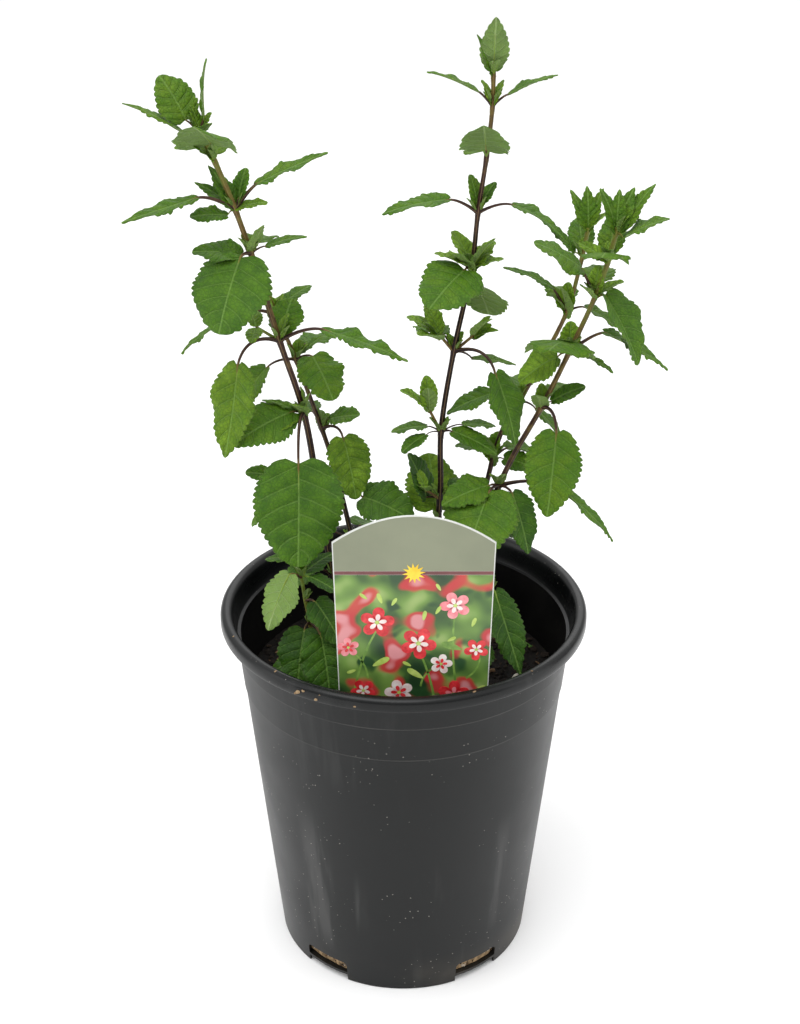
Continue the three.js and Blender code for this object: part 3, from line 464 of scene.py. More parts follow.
mix_dice = random.Random(7)
mix_points, mix_faces, mix_shade = [], [], []
edge_radius = pot_inside(MIX_TOP) - 0.5
for ring in range(MIX_RINGS + 1):
    for s in range(MIX_AROUND):
        a = 2 * math.pi * s / MIX_AROUND
        r = edge_radius * (ring + 0.02) / (MIX_RINGS + 0.02)
        x, y = r * math.cos(a), r * math.sin(a)
        near_edge = max(0.0, 1 - (edge_radius - r) / 5)
        z = mix_height(x, y) * (1 - near_edge) + (MIX_TOP - EDGE_DROP) * near_edge
        mix_points.append((x, y, z + mix_crumbs(x, y, 0)))
        mix_shade.append((0.0, mix_dice.random(), 0.0))
for row in range(1, MIX_ROWS + 1):
    for s in range(MIX_AROUND):
        a = 2 * math.pi * s / MIX_AROUND
        z = MIX_TOP - EDGE_DROP + (MIX_FOOT - MIX_TOP + EDGE_DROP) * (row / MIX_ROWS) ** 0.45
        r = pot_inside(z) - 0.45
        x, y = r * math.cos(a), r * math.sin(a)
        r -= 0.45 + 0.5 * mix_crumbs(x, y, z)
        mix_points.append((r * math.cos(a), r * math.sin(a), z))
        mix_shade.append((0.0, mix_dice.random(), 0.0))
for row in range(MIX_RINGS + MIX_ROWS):
    for s in range(MIX_AROUND):
        t = (s + 1) % MIX_AROUND
        low, high = row * MIX_AROUND, (row + 1) * MIX_AROUND
        mix_faces.append((low + s, high + s, high + t, low + t))
mix_faces.append(tuple(range(MIX_AROUND)))
foot_ring = (MIX_RINGS + MIX_ROWS) * MIX_AROUND
mix_faces.append(tuple(foot_ring + MIX_AROUND - 1 - s for s in range(MIX_AROUND)))

GOLD = (1 + 5 ** 0.5) / 2
LUMP_POINTS = [(0, a, b * GOLD) for a in (-1, 1) for b in (-1, 1)]
LUMP_POINTS += [(a, b * GOLD, 0) for a in (-1, 1) for b in (-1, 1)]
LUMP_POINTS += [(b * GOLD, 0, a) for a in (-1, 1) for b in (-1, 1)]


def lump_faces():
    """The twenty faces of the rough lump, each of three corners that lie next to each other."""
    corners = [Vector(p) for p in LUMP_POINTS]
    found = []
    for i in range(12):
        for j in range(i + 1, 12):
            for k in range(j + 1, 12):
                if max((corners[i] - corners[j]).length, (corners[j] - corners[k]).length,
                       (corners[i] - corners[k]).length) < 2.1:
                    outward = (corners[j] - corners[i]).cross(corners[k] - corners[i])
                    found.append((i, j, k) if outward.dot(corners[i]) > 0 else (i, k, j))
    return found


LUMP_FACES = lump_faces()


def add_lump(points, faces, place, size, dice, lean=0.35):
    """A rough bit of bark or grit: a lump stretched, turned and roughened by chance."""
    start = len(points)
    spin, tip = dice.uniform(0, 2 * math.pi), dice.uniform(-lean, lean)
    for x, y, z in LUMP_POINTS:
        rough = dice.uniform(0.75, 1.2) / 1.9
        x, y, z = x * size[0] * rough, y * size[1] * rough, z * size[2] * rough
        x, z = x * math.cos(tip) - z * math.sin(tip), x * math.sin(tip) + z * math.cos(tip)
        x, y = x * math.cos(spin) - y * math.sin(spin), x * math.sin(spin) + y * math.cos(spin)
        points.append((place[0] + x, place[1] + y, place[2] + z))
    faces += [tuple(start + i for i in face) for face in LUMP_FACES]


for i in range(TOP_BITS):
    r = (edge_radius - 2.6) * math.sqrt(mix_dice.random())
    a = mix_dice.uniform(0, 2 * math.pi)
    x, y = r * math.cos(a), r * math.sin(a)
    long = mix_dice.uniform(0.7, 1.5) * mix_dice.choice((0.7, 0.8, 1.0, 1.3, 2.1))
    chip = (long, long * mix_dice.uniform(0.35, 0.8), long * mix_dice.uniform(0.25, 0.5))
    add_lump(mix_points, mix_faces,
             (x, y, mix_height(x, y) + mix_crumbs(x, y, 0) + chip[2] * 0.3), chip, mix_dice, 0.8)
    kind = mix_dice.random()
    pale = 1.0 if kind > PERLITE else 0.55 if kind > DRY_BARK else mix_dice.uniform(0.0, 0.3)
    mix_shade += [(pale, mix_dice.random(), 0.0)] * 12
for i in range(NOTCH_BITS):
    notch = math.radians(FIRST_NOTCH - 360 / NOTCH_COUNT * (i % NOTCH_COUNT))
    a = notch + mix_dice.uniform(-0.24, 0.24)
    z = mix_dice.uniform(5.7, 13)
    r = pot_inside(z) - mix_dice.uniform(0.9, 1.6)
    long = mix_dice.uniform(0.6, 1.5)
    chip = (long, long * mix_dice.uniform(0.3, 0.7), long * mix_dice.uniform(0.3, 0.6))
    add_lump(mix_points, mix_faces, (r * math.cos(a), r * math.sin(a), z), chip, mix_dice, 1.2)
    mix_shade += [(mix_dice.choice((0.1, 0.3, 0.6, 0.75, 0.95)), mix_dice.random(), 0.0)] * 12

bark_mix, bark = start_material("bark_and_peat", Roughness=0.92, Specular_IOR_Level=0.25)
bit_shade = bark.mark("bit_shade")["X"]
bark_dust = dust(bark, 420.0, 900.0, 0.12)
bark_height = bark.split(bark.here())["Z"]
# Painted shade and light: near black on the top, as painted shade, and a pale woody tan toward the
# foot, partly painted light where the notches let light in.
dark_mix_and_shade = bark.shades(bark_dust["Cloud"], (0.3, (0.0028, 0.0024, 0.0022)),
                   (0.72, (0.012, 0.009, 0.007)))
woody_foot_and_light = bark.shades(bark_dust["Cloud"], (0.3, (0.05, 0.03, 0.016)), (0.66, (0.42, 0.29, 0.16)))
bark_colour = bark.tint(bark.ease(bark_height, 0.013, 0.035, 1.0, 0.0), dark_mix_and_shade, woody_foot_and_light)
bits = bark.shades(bit_shade, (0.0, (0.006, 0.005, 0.0045)), (0.3, (0.03, 0.019, 0.012)),
                   (0.6, (0.16, 0.095, 0.05)), (0.9, (0.34, 0.24, 0.14)), (1.0, (0.62, 0.58, 0.5)))
bark_colour = bark.tint(bark.ease(bit_shade, 0.0, 0.05), bark_colour, bits)
bark_colour = bark.tint(bark_dust["Specks"], bark_colour, (0.12, 0.09, 0.06), 0.5)
bark.surface("Base Color", bark_colour)
bark.relief(bark_dust["Cloud"], 0.0006, 0.7)

mix = make_mesh("potting_mix_fill", mix_points, mix_faces, [bark_mix], smooth_to=28)
keep_mark(mix, "bit_shade", mix_shade)
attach(mix, "root")
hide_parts("potting_mix")


# Crumbs of mix that fell on the lip when the pot was filled: dry bits of
# bark, one to three millimetres across, that lie on it or stick to its side.
crumb_dice = random.Random(19)
crumb_points, crumb_faces, crumb_shade = [], [], []
for azimuth, radius, height, size, shade in (
        (238, 82.2, 171.4, 2.2, 0.88), (239.6, 82.0, 172.6, 1.5, 0.8),
        (237.1, 82.3, 170.4, 1.2, 0.7), (244, 82.3, 170.6, 1.3, 0.85),
        (245.2, 81.9, 172.9, 0.9, 0.75), (256, 82.3, 170.8, 1.1, 0.8),
        (228, 80.2, 174.8, 0.9, 0.75), (291, 80.4, 174.8, 0.9, 0.7),
        (203, 80.2, 174.8, 0.8, 0.8), (312, 79.9, 174.8, 0.9, 0.65)):
    a = math.radians(azimuth)
    add_lump(crumb_points, crumb_faces, (radius * math.cos(a), radius * math.sin(a), height),
             (size, size * 0.6, size * 0.4), crumb_dice, 0.3)
    crumb_shade += [(shade, 0.5, 0.0)] * 12
crumbs = make_mesh("crumbs_on_lip", crumb_points, crumb_faces, [bark_mix], smooth_to=28)
keep_mark(crumbs, "bit_shade", crumb_shade)
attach(crumbs, "root")


# The plant label: a stiff sheet of white plastic, 0.7 mm thick, with an
# arched top and a long point that is pushed into the mix against the wall.
# It is cut from a larger sheet after printing, so the white shows at its edge.
LABEL_X, LABEL_Y = 4, -60
LABEL_THICK = 0.7
LABEL_CORNER, LABEL_ARCH, LABEL_TOP = 236, 12, 248


def label_side(z):
    """Half the label's width at a height."""
    if z >= 128:
        return 30.5 + 2.5 * (z - 128) / 108
    if z >= 98:
        return 13 + 17.5 * math.sin(math.pi / 2 * (z - 98) / 30)
    return 13 * (z - 84) / 14


def label_outline(inset, low, high):
    """The label's outline between two heights, moved in from its cut edge."""
    top = min(high, LABEL_CORNER - inset)
    side = [(label_side(z) - inset, z) for z in (low + (top - low) * i / 12 for i in range(13))]
    arch = []
    if high > LABEL_CORNER:
        half = label_side(LABEL_CORNER) - inset
        arch = [half * math.cos(math.pi * i / 40) for i in range(1, 40)]
        arch = [(x, LABEL_CORNER - inset + LABEL_ARCH * (1 - (x / half) ** 2)) for x in arch]
    return side + arch + [(-x, z) for x, z in reversed(side)]


def add_slab(points, faces, outline, front, thick, centre=(0, 0)):
    """A flat closed slab in the label's plane, its front at that y."""
    start, n = len(points), len(outline)
    for y in (front, front + thick):
        points += [(LABEL_X + centre[0] + x, y, centre[1] + z) for x, z in outline]
    around = sum(outline[i][0] * outline[(i + 1) % n][1] - outline[(i + 1) % n][0] * outline[i][1]
                 for i in range(n))
    loop = [start + i for i in range(n)]
    if around < 0:
        loop.reverse()
    faces.append(tuple(loop))
    faces.append(tuple(i + n for i in reversed(loop)))
    for i in range(n):
        a, b = loop[i], loop[(i + 1) % n]
        faces.append((b, a, a + n, b + n))
    return n + 2


label_sheet, sheet = start_material("white_label_plastic", Roughness=0.38, Coat_Weight=0.25,
                                    Coat_Roughness=0.2)
sheet_dust = dust(sheet, 60.0, 500.0, 0.07)
sheet_colour = sheet.shades(sheet_dust["Cloud"], (0.3, (0.6, 0.61, 0.58)),
                            (0.7, (0.7, 0.71, 0.68)))
sheet.surface("Base Color", sheet.tint(sheet_dust["Specks"], sheet_colour, (0.2, 0.16, 0.12), 0.5))
sheet.relief(sheet_dust["Cloud"], 0.00003, 0.3)

sheet_points, sheet_faces = [], []
add_slab(sheet_points, sheet_faces, [(0, 84)] + label_outline(0, 86, LABEL_TOP),
         LABEL_Y - LABEL_THICK / 2, LABEL_THICK)
label = make_mesh("plant_label_sheet", sheet_points, sheet_faces, [label_sheet], smooth_to=25)
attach(label, "root")
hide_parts("plant_label")


# The print on the label's front: a plain sage green heading, a thin maroon
# line with a small sun on it, and under it a soft picture of simple blossoms
# in a green border. Each ink lies as a thin film on the sheet.
PRINT_STEP = 0.03
BORDER = 0.45
SUN_MIDDLE = (0, 222.0)
print_points, print_faces, print_paint = [], [], []
print_front = LABEL_Y - LABEL_THICK / 2


def print_shape(outline, layer, ink, centre=(0, 0)):
    """One printed shape, lying a layer of ink above the last."""
    film = PRINT_STEP * (layer + 1)
    count = add_slab(print_points, print_faces, outline, print_front - film, film * 0.9, centre)
    print_paint.extend([ink] * count)


def petal(angle, near, far, wide, point=0.75):
    """A petal as an outline round its own axis, from near to far of the flower's middle."""
    c, s = math.cos(math.radians(angle)), math.sin(math.radians(angle))
    outline = []
    for i in range(18):
        a = 2 * math.pi * i / 18
        u, v = (near + far) / 2 + (far - near) / 2 * math.cos(a), wide / 2 * math.sin(a)
        v *= 1 - (1 - point) * (far - u) / (far - near)
        outline.append((u * c - v * s, u * s + v * c))
    return outline


def stroke(points, wide, taper=0.4):
    """A drawn line, a little thinner toward its end."""
    left, right = [], []
    for i, (x, z) in enumerate(points):
        x1, z1 = points[max(i - 1, 0)]
        x2, z2 = points[min(i + 1, len(points) - 1)]
        length = math.hypot(x2 - x1, z2 - z1)
        half = wide / 2 * (1 - taper * i / (len(points) - 1))
        nx, nz = -(z2 - z1) / length * half, (x2 - x1) / length * half
        left.append((x + nx, z + nz))
        right.append((x - nx, z - nz))
    return left + right[::-1]


def bow_line(x1, z1, x2, z2, bow, count=9):
    """Points along a line that bows to one side."""
    line = []
    for i in range(count):
        t = i / (count - 1)
        off = bow * 4 * t * (1 - t)
        length = math.hypot(x2 - x1, z2 - z1)
        line.append((x1 + (x2 - x1) * t - (z2 - z1) / length * off,
                     z1 + (z2 - z1) * t + (x2 - x1) / length * off))
    return line


HEADING, LINE, PICTURE, SUN, RED, PINK, CREAM, STALK, LIME, SHADE = range(10)
print_shape(label_outline(BORDER, 223.0, LABEL_TOP), 0, HEADING)
print_shape(label_outline(BORDER, 221.3, 222.9), 0, LINE)
print_shape(label_outline(BORDER, 130, 221.2), 0, PICTURE)

picture_stalks = (
    ((-24, 136, -15, 196, 5), 1.3), ((8, 134, 2, 186, -4), 1.3), ((26, 138, 17, 204, 4), 1.2),
    ((-19, 172, -27, 186, -2), 0.9), ((3, 168, 11, 178, 2), 0.9), ((22, 172, 27.5, 184, -2), 0.9))
for points, wide in picture_stalks:
    print_shape(stroke(bow_line(*points), wide), 1, STALK)
for x, z, angle, long, wide, ink in (
        (-20, 150, 35, 12, 5.5, STALK), (-23, 158, 150, 9, 4, SHADE), (8, 150, 20, 13, 6, STALK),
        (7, 158, 160, 11, 5, SHADE), (25, 155, 145, 12, 5.5, STALK), (24, 163, 40, 8, 3.5, LIME),
        (-17, 178, 30, 8, 3.5, LIME), (4, 172, 145, 8, 3.5, LIME), (20, 186, 160, 9, 4, STALK),
        (0, 143, 170, 12, 5.5, SHADE), (14, 142, 10, 12, 5, SHADE), (-11, 142, 60, 9, 4, STALK)):
    print_shape(petal(angle, 0, long, wide, 0.5), 2, ink, (x, z))
for x, z, size, turn, ink, rim in (
        (-15, 199, 7.2, 10, RED, CREAM), (17, 207, 6.4, 40, PINK, CREAM),
        (2, 189, 7.6, 62, RED, CREAM), (-27, 187, 4.6, 25, PINK, RED),
        (11.5, 179, 4.8, 5, CREAM, RED), (26, 186, 5.2, 50, RED, CREAM),
        (-6, 165, 6.2, 33, CREAM, RED), (17, 164, 6.8, 15, RED, PINK),
        (-21, 166, 5.4, 48, RED, CREAM), (-26, 148, 6.0, 20, RED, PINK),
        (1, 150, 5.2, 70, RED, CREAM)):
    for k in range(5):
        print_shape(petal(turn + 72 * k, size * 0.12, size, size * 0.78), 3, ink, (x, z))
    for k in range(5):
        print_shape(petal(turn + 72 * k, size * 0.1, size * 0.55, size * 0.3), 4, rim, (x, z))
    print_shape(petal(0, -size * 0.13, size * 0.13, size * 0.26, 1), 5, LIME, (x, z))
for x, z, angle, long in (
        (-13, 208, 110, 5), (-19, 210, 140, 4), (-9, 207, 60, 4), (4, 200, 80, 4.6),
        (9, 203, 60, 4.2), (24, 197, 70, 4.4), (11, 214, 120, 3.6), (-24, 176, 200, 4),
        (14, 190, 30, 4), (-1, 178, 150, 4)):
    print_shape(petal(angle, 0, long, long * 0.45, 0.6), 4, LIME, (x, z))

for k in range(12):
    a = math.radians(30 * k + 6)
    outward, across = (math.cos(a), math.sin(a)), (-math.sin(a), math.cos(a))
    print_shape([(outward[0] * r + across[0] * w, outward[1] * r + across[1] * w)
                 for r, w in ((2.3, -0.62), (4.7, 0), (2.3, 0.62))], 6, SUN, SUN_MIDDLE)
print_shape(petal(0, -2.7, 2.7, 5.4, 1), 7, SUN, SUN_MIDDLE)


def ink_material(name, first, second, scale=240.0):
    """One printed ink, a little uneven as print is, under the label's clear gloss."""
    ink, nodes = start_material(name, Roughness=0.42, Coat_Weight=0.25, Coat_Roughness=0.2)
    cloudy = dust(nodes, scale, 600.0, 0.06)
    colour = nodes.shades(cloudy["Cloud"], (0.33, first), (0.67, second))
    nodes.surface("Base Color", nodes.tint(cloudy["Specks"], colour, (0.5, 0.48, 0.42), 0.3))
    return ink


def picture_material():
    """The soft background of the picture: greens out of focus, with hazy red and pink."""
    ink, nodes = start_material("picture_background", Roughness=0.42, Coat_Weight=0.25,
                                Coat_Roughness=0.2)
    place = nodes.here()
    haze = nodes.noise(place, 70.0, 1.0)
    blots = nodes.noise(place, 120.0, 0.0, Distortion=0.4)
    warm = nodes.noise(place, 95.0, 0.5)
    colour = nodes.shades(haze, (0.3, (0.014, 0.045, 0.014)), (0.45, (0.05, 0.12, 0.025)),
                          (0.58, (0.16, 0.29, 0.055)), (0.72, (0.38, 0.5, 0.17)))
    for amount, over in ((nodes.ease(blots, 0.58, 0.72), (0.02, 0.07, 0.02)),
                         (nodes.ease(warm, 0.53, 0.63, 0.0, 0.9), (0.55, 0.03, 0.04)),
                         (nodes.ease(warm, 0.66, 0.76, 0.0, 0.75), (0.72, 0.34, 0.36))):
        colour = nodes.tint(amount, colour, over)
    nodes.surface("Base Color", colour)
    return ink


inks = [
    ink_material("heading_ink", (0.205, 0.222, 0.145), (0.232, 0.25, 0.163), 60.0),
    ink_material("line_ink", (0.13, 0.035, 0.035), (0.17, 0.05, 0.05)),
    picture_material(),
    ink_material("sun_ink", (0.85, 0.55, 0.02), (0.95, 0.72, 0.05)),
    ink_material("red_petal_ink", (0.52, 0.012, 0.018), (0.85, 0.05, 0.06), 420.0),
    ink_material("pink_petal_ink", (0.78, 0.16, 0.2), (0.86, 0.36, 0.38), 420.0),
    ink_material("cream_petal_ink", (0.8, 0.62, 0.6), (0.92, 0.86, 0.82), 420.0),
    ink_material("stalk_ink", (0.1, 0.22, 0.035), (0.25, 0.42, 0.08), 300.0),
    ink_material("lime_ink", (0.36, 0.52, 0.08), (0.55, 0.68, 0.18), 300.0),
    ink_material("shade_leaf_ink", (0.03, 0.1, 0.03), (0.09, 0.22, 0.06), 300.0),
]
label_print = make_mesh("label_print", print_points, print_faces, inks, print_paint, smooth_to=25)
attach(label_print, "root")


# The left front stem, the tallest and fullest on that side: a young square
# stem, purple brown below and green at its tip, with leaves in opposite
# pairs, each pair at right angles to the last, and small leaflets in the axils.
class Shoot:
    """The points, faces and marks of one stem with its leaves, as they are grown."""

    def __init__(self, name, path, greens, tone):
        self.points, self.faces, self.paint = [], [], []
        self.place, self.kind = [], []
        self.dice = random.Random(name)
        self.line = stem_line(path)
        self.foot, self.top, self.greens, self.tone = path[0][2], path[-1][2], greens, tone

    def at_height(self, z):
        """The middle of the stem at a height."""
        for low, high in zip(self.line, self.line[1:]):
            if high.z >= z:
                break
        return low.lerp(high, max(0.0, min(1.0, (z - low.z) / (high.z - low.z))))

    def run_at(self, z):
        """How far up the stem a height is, from 0 to 1."""
        return (z - self.foot) / (self.top - self.foot)

    def green_at(self, z):
        """How green the skin is at a height: woody purple below, green above."""
        low, high = self.greens
        return max(0.0, min(1.0, (self.run_at(z) - low) / (high - low)))


def stem_line(path):
    """A smooth line of close points through the stem's own points (centripetal spline)."""
    knots = [Vector(p) for p in path]
    knots = [knots[0] * 2 - knots[1]] + knots + [knots[-1] * 2 - knots[-2]]
    line = []
    for i in range(1, len(knots) - 2):
        a, b, c, d = knots[i - 1:i + 3]
        gaps = [max((q - p).length ** 0.5, 1e-4) for p, q in ((a, b), (b, c), (c, d))]
        leave = (b - a) / gaps[0] - (c - a) / (gaps[0] + gaps[1]) + (c - b) / gaps[1]
        arrive = (c - b) / gaps[1] - (d - b) / (gaps[1] + gaps[2]) + (d - c) / gaps[2]
        leave, arrive = leave * gaps[1], arrive * gaps[1]
        for step in range(16):
            t = step / 16
            line.append(b + leave * t + (c * 3 - b * 3 - leave * 2 - arrive) * t * t
                        + (b * 2 - c * 2 + leave + arrive) * t * t * t)
    return line + [knots[-2]]


def grow_tube(shoot, line, radii, sides, square, green, seed=0.0):
    """A closed tube along a line. green says at each point how far it turned from purple."""
    start, count = len(shoot.points), len(line)
    side = Vector((1, 0, 0))
    for i, point in enumerate(line):
        along = (line[min(i + 1, count - 1)] - line[max(i - 1, 0)]).normalized()
        side = side - along * side.dot(along)
        if side.length < 0.05:
            side = Vector((0, 1, 0)) - along * along.y
        side.normalize()
        other = along.cross(side)
        for k in range(sides):
            a = 2 * math.pi * k / sides
            r = radii[i] * (1 + square * math.cos(4 * a))
            shoot.points.append(point + side * (r * math.cos(a)) + other * (r * math.sin(a)))
            shoot.place.append((green[i], k / sides, radii[i]))
            shoot.kind.append((0.5, 0.0, seed))
    for i in range(count - 1):
        for k in range(sides):
            a, b = start + i * sides + k, start + i * sides + (k + 1) % sides
            shoot.faces.append((a, b, b + sides, a + sides))
    last = start + (count - 1) * sides
    shoot.faces.append(tuple(start + sides - 1 - k for k in range(sides)))
    shoot.faces.append(tuple(last + k for k in range(sides)))
    shoot.paint += [STEM_SKIN] * ((count - 1) * sides + 2)


def leaf(aim, dip, blade, wide, rise=40, stalk=0.3, **more):
    """A leaf: its compass heading, how its blade is raised, the blade's length and width, how its
    stalk rises and the stalk's length. The stalk's bow and the blade's turn, roll, fold, arch and
    wave are named where they matter; tone runs from old dark green to young yellow green."""
    return {"aim": aim, "dip": dip, "blade": blade, "wide": wide, "rise": rise, "stalk": stalk,
            **more}


def tuft(aim, size, count, **more):
    """A bunch of young leaflets in an axil, on a side twig where it has a reach."""
    return {"aim": aim, "size": size, "count": count, **more}


def heading_of(degrees):
    """A level direction by its compass heading."""
    return Vector((math.cos(math.radians(degrees)), math.sin(math.radians(degrees)), 0))


def leaf_outline(t, slim, wide_at):
    """Share of the full half width at t along a blade; a broad leaf is blunter than a slim one.
    A wide_at of 0.66 puts the widest place below the middle, 1 in the middle."""
    return math.sin(math.pi * t ** wide_at) ** (0.5 + 0.35 * slim) if 0 < t < 1 else 0.0


# The grown blade ends just short of its length, inside the CAD model's box
BLADE_SHARE = 0.985


def blade_frame(leaf, start, t):
    """The point on the midrib at t, and the blade's own directions there."""
    azimuth = leaf["aim"] + leaf.get("turn", 0)
    heading, level = heading_of(azimuth), heading_of(azimuth + 90)
    arch, point = leaf.get("arch", 18), start.copy()
    step = leaf["blade"] * t * BLADE_SHARE / 8
    for s in range(8):
        elevation = math.radians(leaf["dip"] + arch * (0.5 - (s + 0.5) * t / 8))
        point += heading * (math.cos(elevation) * step)
        point.z += math.sin(elevation) * step
    elevation = math.radians(leaf["dip"] + arch * (0.5 - t))
    along = heading * math.cos(elevation) + Vector((0, 0, math.sin(elevation)))
    roll = math.radians(leaf.get("roll", 0))
    left = level * math.cos(roll) + along.cross(level) * math.sin(roll)
    return point, along, left, along.cross(left)


# A blade under 17 mm is a young leaf; one with a stalk under 2.5 mm sits in an axil
YOUNG = 17
AXIL_STALK = 2.5
VEIN_PAIRS = 6
LEAF_SKIN, STEM_SKIN = 0, 1
TOOTH_ROWS = ((0.0, 1.0), (0.25, 0.4), (0.52, 0.06), (0.82, 0.0))
FINE_COLUMNS = (0, 0.05, 0.15, 0.28, 0.42, 0.56, 0.7, 0.83, 0.93, 1)
MIDDLE_COLUMNS = (0, 0.08, 0.24, 0.43, 0.62, 0.8, 0.93, 1)
SMALL_COLUMNS = (0, 0.12, 0.4, 0.7, 1)


def grow_blade(shoot, leaf, start, tone, seed):
    """A closed thin blade: teeth, a sunk midrib, puckers between the veins, a waved edge."""
    long, young = leaf["blade"], leaf["blade"] < YOUNG
    half = leaf["wide"] / 2 * (1.12 if young else 1)
    teeth = max(5, min(17, round(3 + long / 3.1)))
    columns = FINE_COLUMNS if long > 26 else MIDDLE_COLUMNS if long > 15 else SMALL_COLUMNS
    fold = math.radians(leaf.get("fold", 12))
    stations = 5 if long > 36 else 3 if long > 23 else 2 if long > 14 else 1
    waves = [(shoot.dice.uniform(0.035, 0.09) * min(1, long / 24), shoot.dice.uniform(1.2, 2.8),
              shoot.dice.uniform(0, 6.28)) for _ in range(2)]
    curl = shoot.dice.uniform(0.02, 0.10)
    sway = shoot.dice.uniform(-0.03, 0.03)
    tooth_deep = min(1.15, 0.075 * half + 0.1)
    slim = 0.1 if young else min(1.0, max(0.0, 1.6 - 1.7 * leaf["wide"] / long))
    wide_at = 0.86 if young else 0.66
    tooth_bend = [[shoot.dice.uniform(-0.45, 1.05) * min(1, long / 30) for _ in range(teeth + 1)]
                  for _ in range(2)]
    ripple = leaf.get("wave", 0) if stations > 2 else 0
    rows = [(0.0, 0.0, 0)]
    for tooth in range(teeth):
        for place, sunk in TOOTH_ROWS:
            x = (tooth + place + 0.15) / (teeth + 0.15)
            rows.append((x ** 1.12, sunk, tooth))
    across = len(columns)
    ids = []
    for t, sunk, tooth in rows:
        point, along, left, up = blade_frame(leaf, start, t)
        width = max(half * leaf_outline(t, slim, wide_at), 0.35)
        notch = sunk * tooth_deep * min(1, t / 0.12) * min(1, (1 - t) / 0.08)
        row = {}
        for side in (1, -1):
            amount, turns, shift = waves[(1 - side) // 2]
            bend = tooth_bend[(1 - side) // 2][tooth]
            for c, u in enumerate(columns):
                if side < 0 and c == 0:
                    continue
                reach = u * width - notch * u ** 5
                lift = math.sin(fold) * reach + ripple * width * u * side * math.cos(
                    math.pi * t * (stations + 1))
                lift += amount * width * 2 * u * u * math.sin(2 * math.pi * turns * t + shift)
                lift -= curl * width * u ** 3
                lift -= bend * (1 - sunk) * u ** 6 * min(1, t / 0.1)
                phase = (t - 0.2 * u ** 1.3) * VEIN_PAIRS + 0.12 * side
                pucker = 0.5 - 0.5 * math.cos(2 * math.pi * phase)
                body = math.sin(math.pi * min(1, u * 1.04)) ** 0.8 if u < 0.96 else 0
                body *= min(1, (1 - t) / 0.15) * min(1, t / 0.08)
                lift += 0.012 * long * (pucker - 0.5) * body
                lift -= 0.008 * long * math.exp(-(reach / (0.02 * long + 0.35)) ** 2) * (1 - t)
                behind = -0.055 * long * u * u * math.exp(-(t / 0.09) ** 2) if t > 0 else 0
                middle = (point + left * (side * math.cos(fold) * reach + sway * long * t * t)
                          + up * lift + along * (behind + 0.12 * notch))
                thick = (0.16 + 0.12 * (1 - u)) * min(1, 0.4 + long / 40)
                for face in ((1, 0) if c < across - 1 and t > 0 else (0.5,)):
                    shoot.points.append(middle + up * ((face - 0.5) * 2 * thick))
                    shoot.place.append((t, side * u, reach))
                    shoot.kind.append((tone, face, seed))
                    row[(side * c, face)] = len(shoot.points) - 1
        ids.append(row)
    point, along, left, up = blade_frame(leaf, start, 1.0)
    shoot.points.append(point + left * (sway * long))
    shoot.place.append((1.0, 0.0, 0.0))
    shoot.kind.append((tone, 0.5, seed))
    tip = len(shoot.points) - 1

    def corner(row, c, face):
        return row.get((c, face), row.get((c, 0.5)))

    before = len(shoot.faces)
    last = across - 1
    for low, high in zip(ids, ids[1:]):
        for c in range(-last, last):
            around = ((high, c), (high, c + 1), (low, c + 1), (low, c))
            shoot.faces.append(tuple(corner(*place, 1) for place in around))
            around = ((low, c + 1), (high, c + 1), (high, c), (low, c))
            shoot.faces.append(tuple(corner(*place, 0) for place in around))
    row = ids[-1]
    for c in range(-last, last):
        shoot.faces.append((tip, corner(row, c + 1, 1), corner(row, c, 1)))
        shoot.faces.append((tip, corner(row, c, 0), corner(row, c + 1, 0)))
    shoot.paint += [LEAF_SKIN] * (len(shoot.faces) - before)


def grow_leaf(shoot, leaf, root, green):
    """One leaf: its stalk bowed out of the stem, the rib under the blade, and the blade."""
    long, stalk = leaf["blade"], leaf["stalk"]
    rise, bow = math.radians(leaf["rise"]), leaf.get("bow", 0.12)
    heading = heading_of(leaf["aim"])
    end = root + heading * (stalk * math.cos(rise)) + Vector((0, 0, stalk * math.sin(rise)))
    seed = shoot.dice.random()
    usual = 0.74 if long < YOUNG and stalk < AXIL_STALK else 0.44
    usual = shoot.tone or usual + 0.16 * shoot.run_at(root.z)
    tone = leaf.get("tone", usual) + shoot.dice.uniform(-0.1, 0.1)
    size = max(0.45, min(1.0, long / 32))
    line, radii, greens = [], [], []
    stalk_green = green * (0.35 if stalk > 4 else 1)
    steps = max(2, round(stalk / 1.6))
    bent = (root + end) / 2
    if stalk > AXIL_STALK:
        bent += heading * (bow * stalk * 0.5) + Vector((0, 0, bow * stalk))
    pull = bent * 2 - (root + end) / 2
    for i in range(steps):
        t = i / steps
        line.append(root * (1 - t) ** 2 + pull * (2 * t * (1 - t)) + end * t * t)
        radii.append(size * (0.85 - 0.3 * t + 0.35 * math.exp(-t * 9)))
        greens.append(stalk_green + (1 - stalk_green) * 0.35 * t * t)
    for i in range(9):
        t = 0.86 * i / 8
        point, along, left, up = blade_frame(leaf, end, t)
        line.append(point - up * (0.14 + 0.30 * size * min(1, t * 12) * (1 - t)))
        radii.append(size * (0.52 - 0.42 * t / 0.86))
        greens.append(min(1.0, stalk_green + 0.5 + t * 2))
    grow_tube(shoot, line, radii, 8 if long > 15 else 6, 0.0, greens, seed)
    grow_blade(shoot, leaf, end, tone, seed)


def tuft_dice(number):
    """The draws that the plant's own solids were grown with, so that the leaflets lie the same."""
    state = [number]

    def draw():
        state[0] = (state[0] * 1664525 + 1013904223) & 0xFFFFFFFF
        return state[0] / 4294967296
    return draw


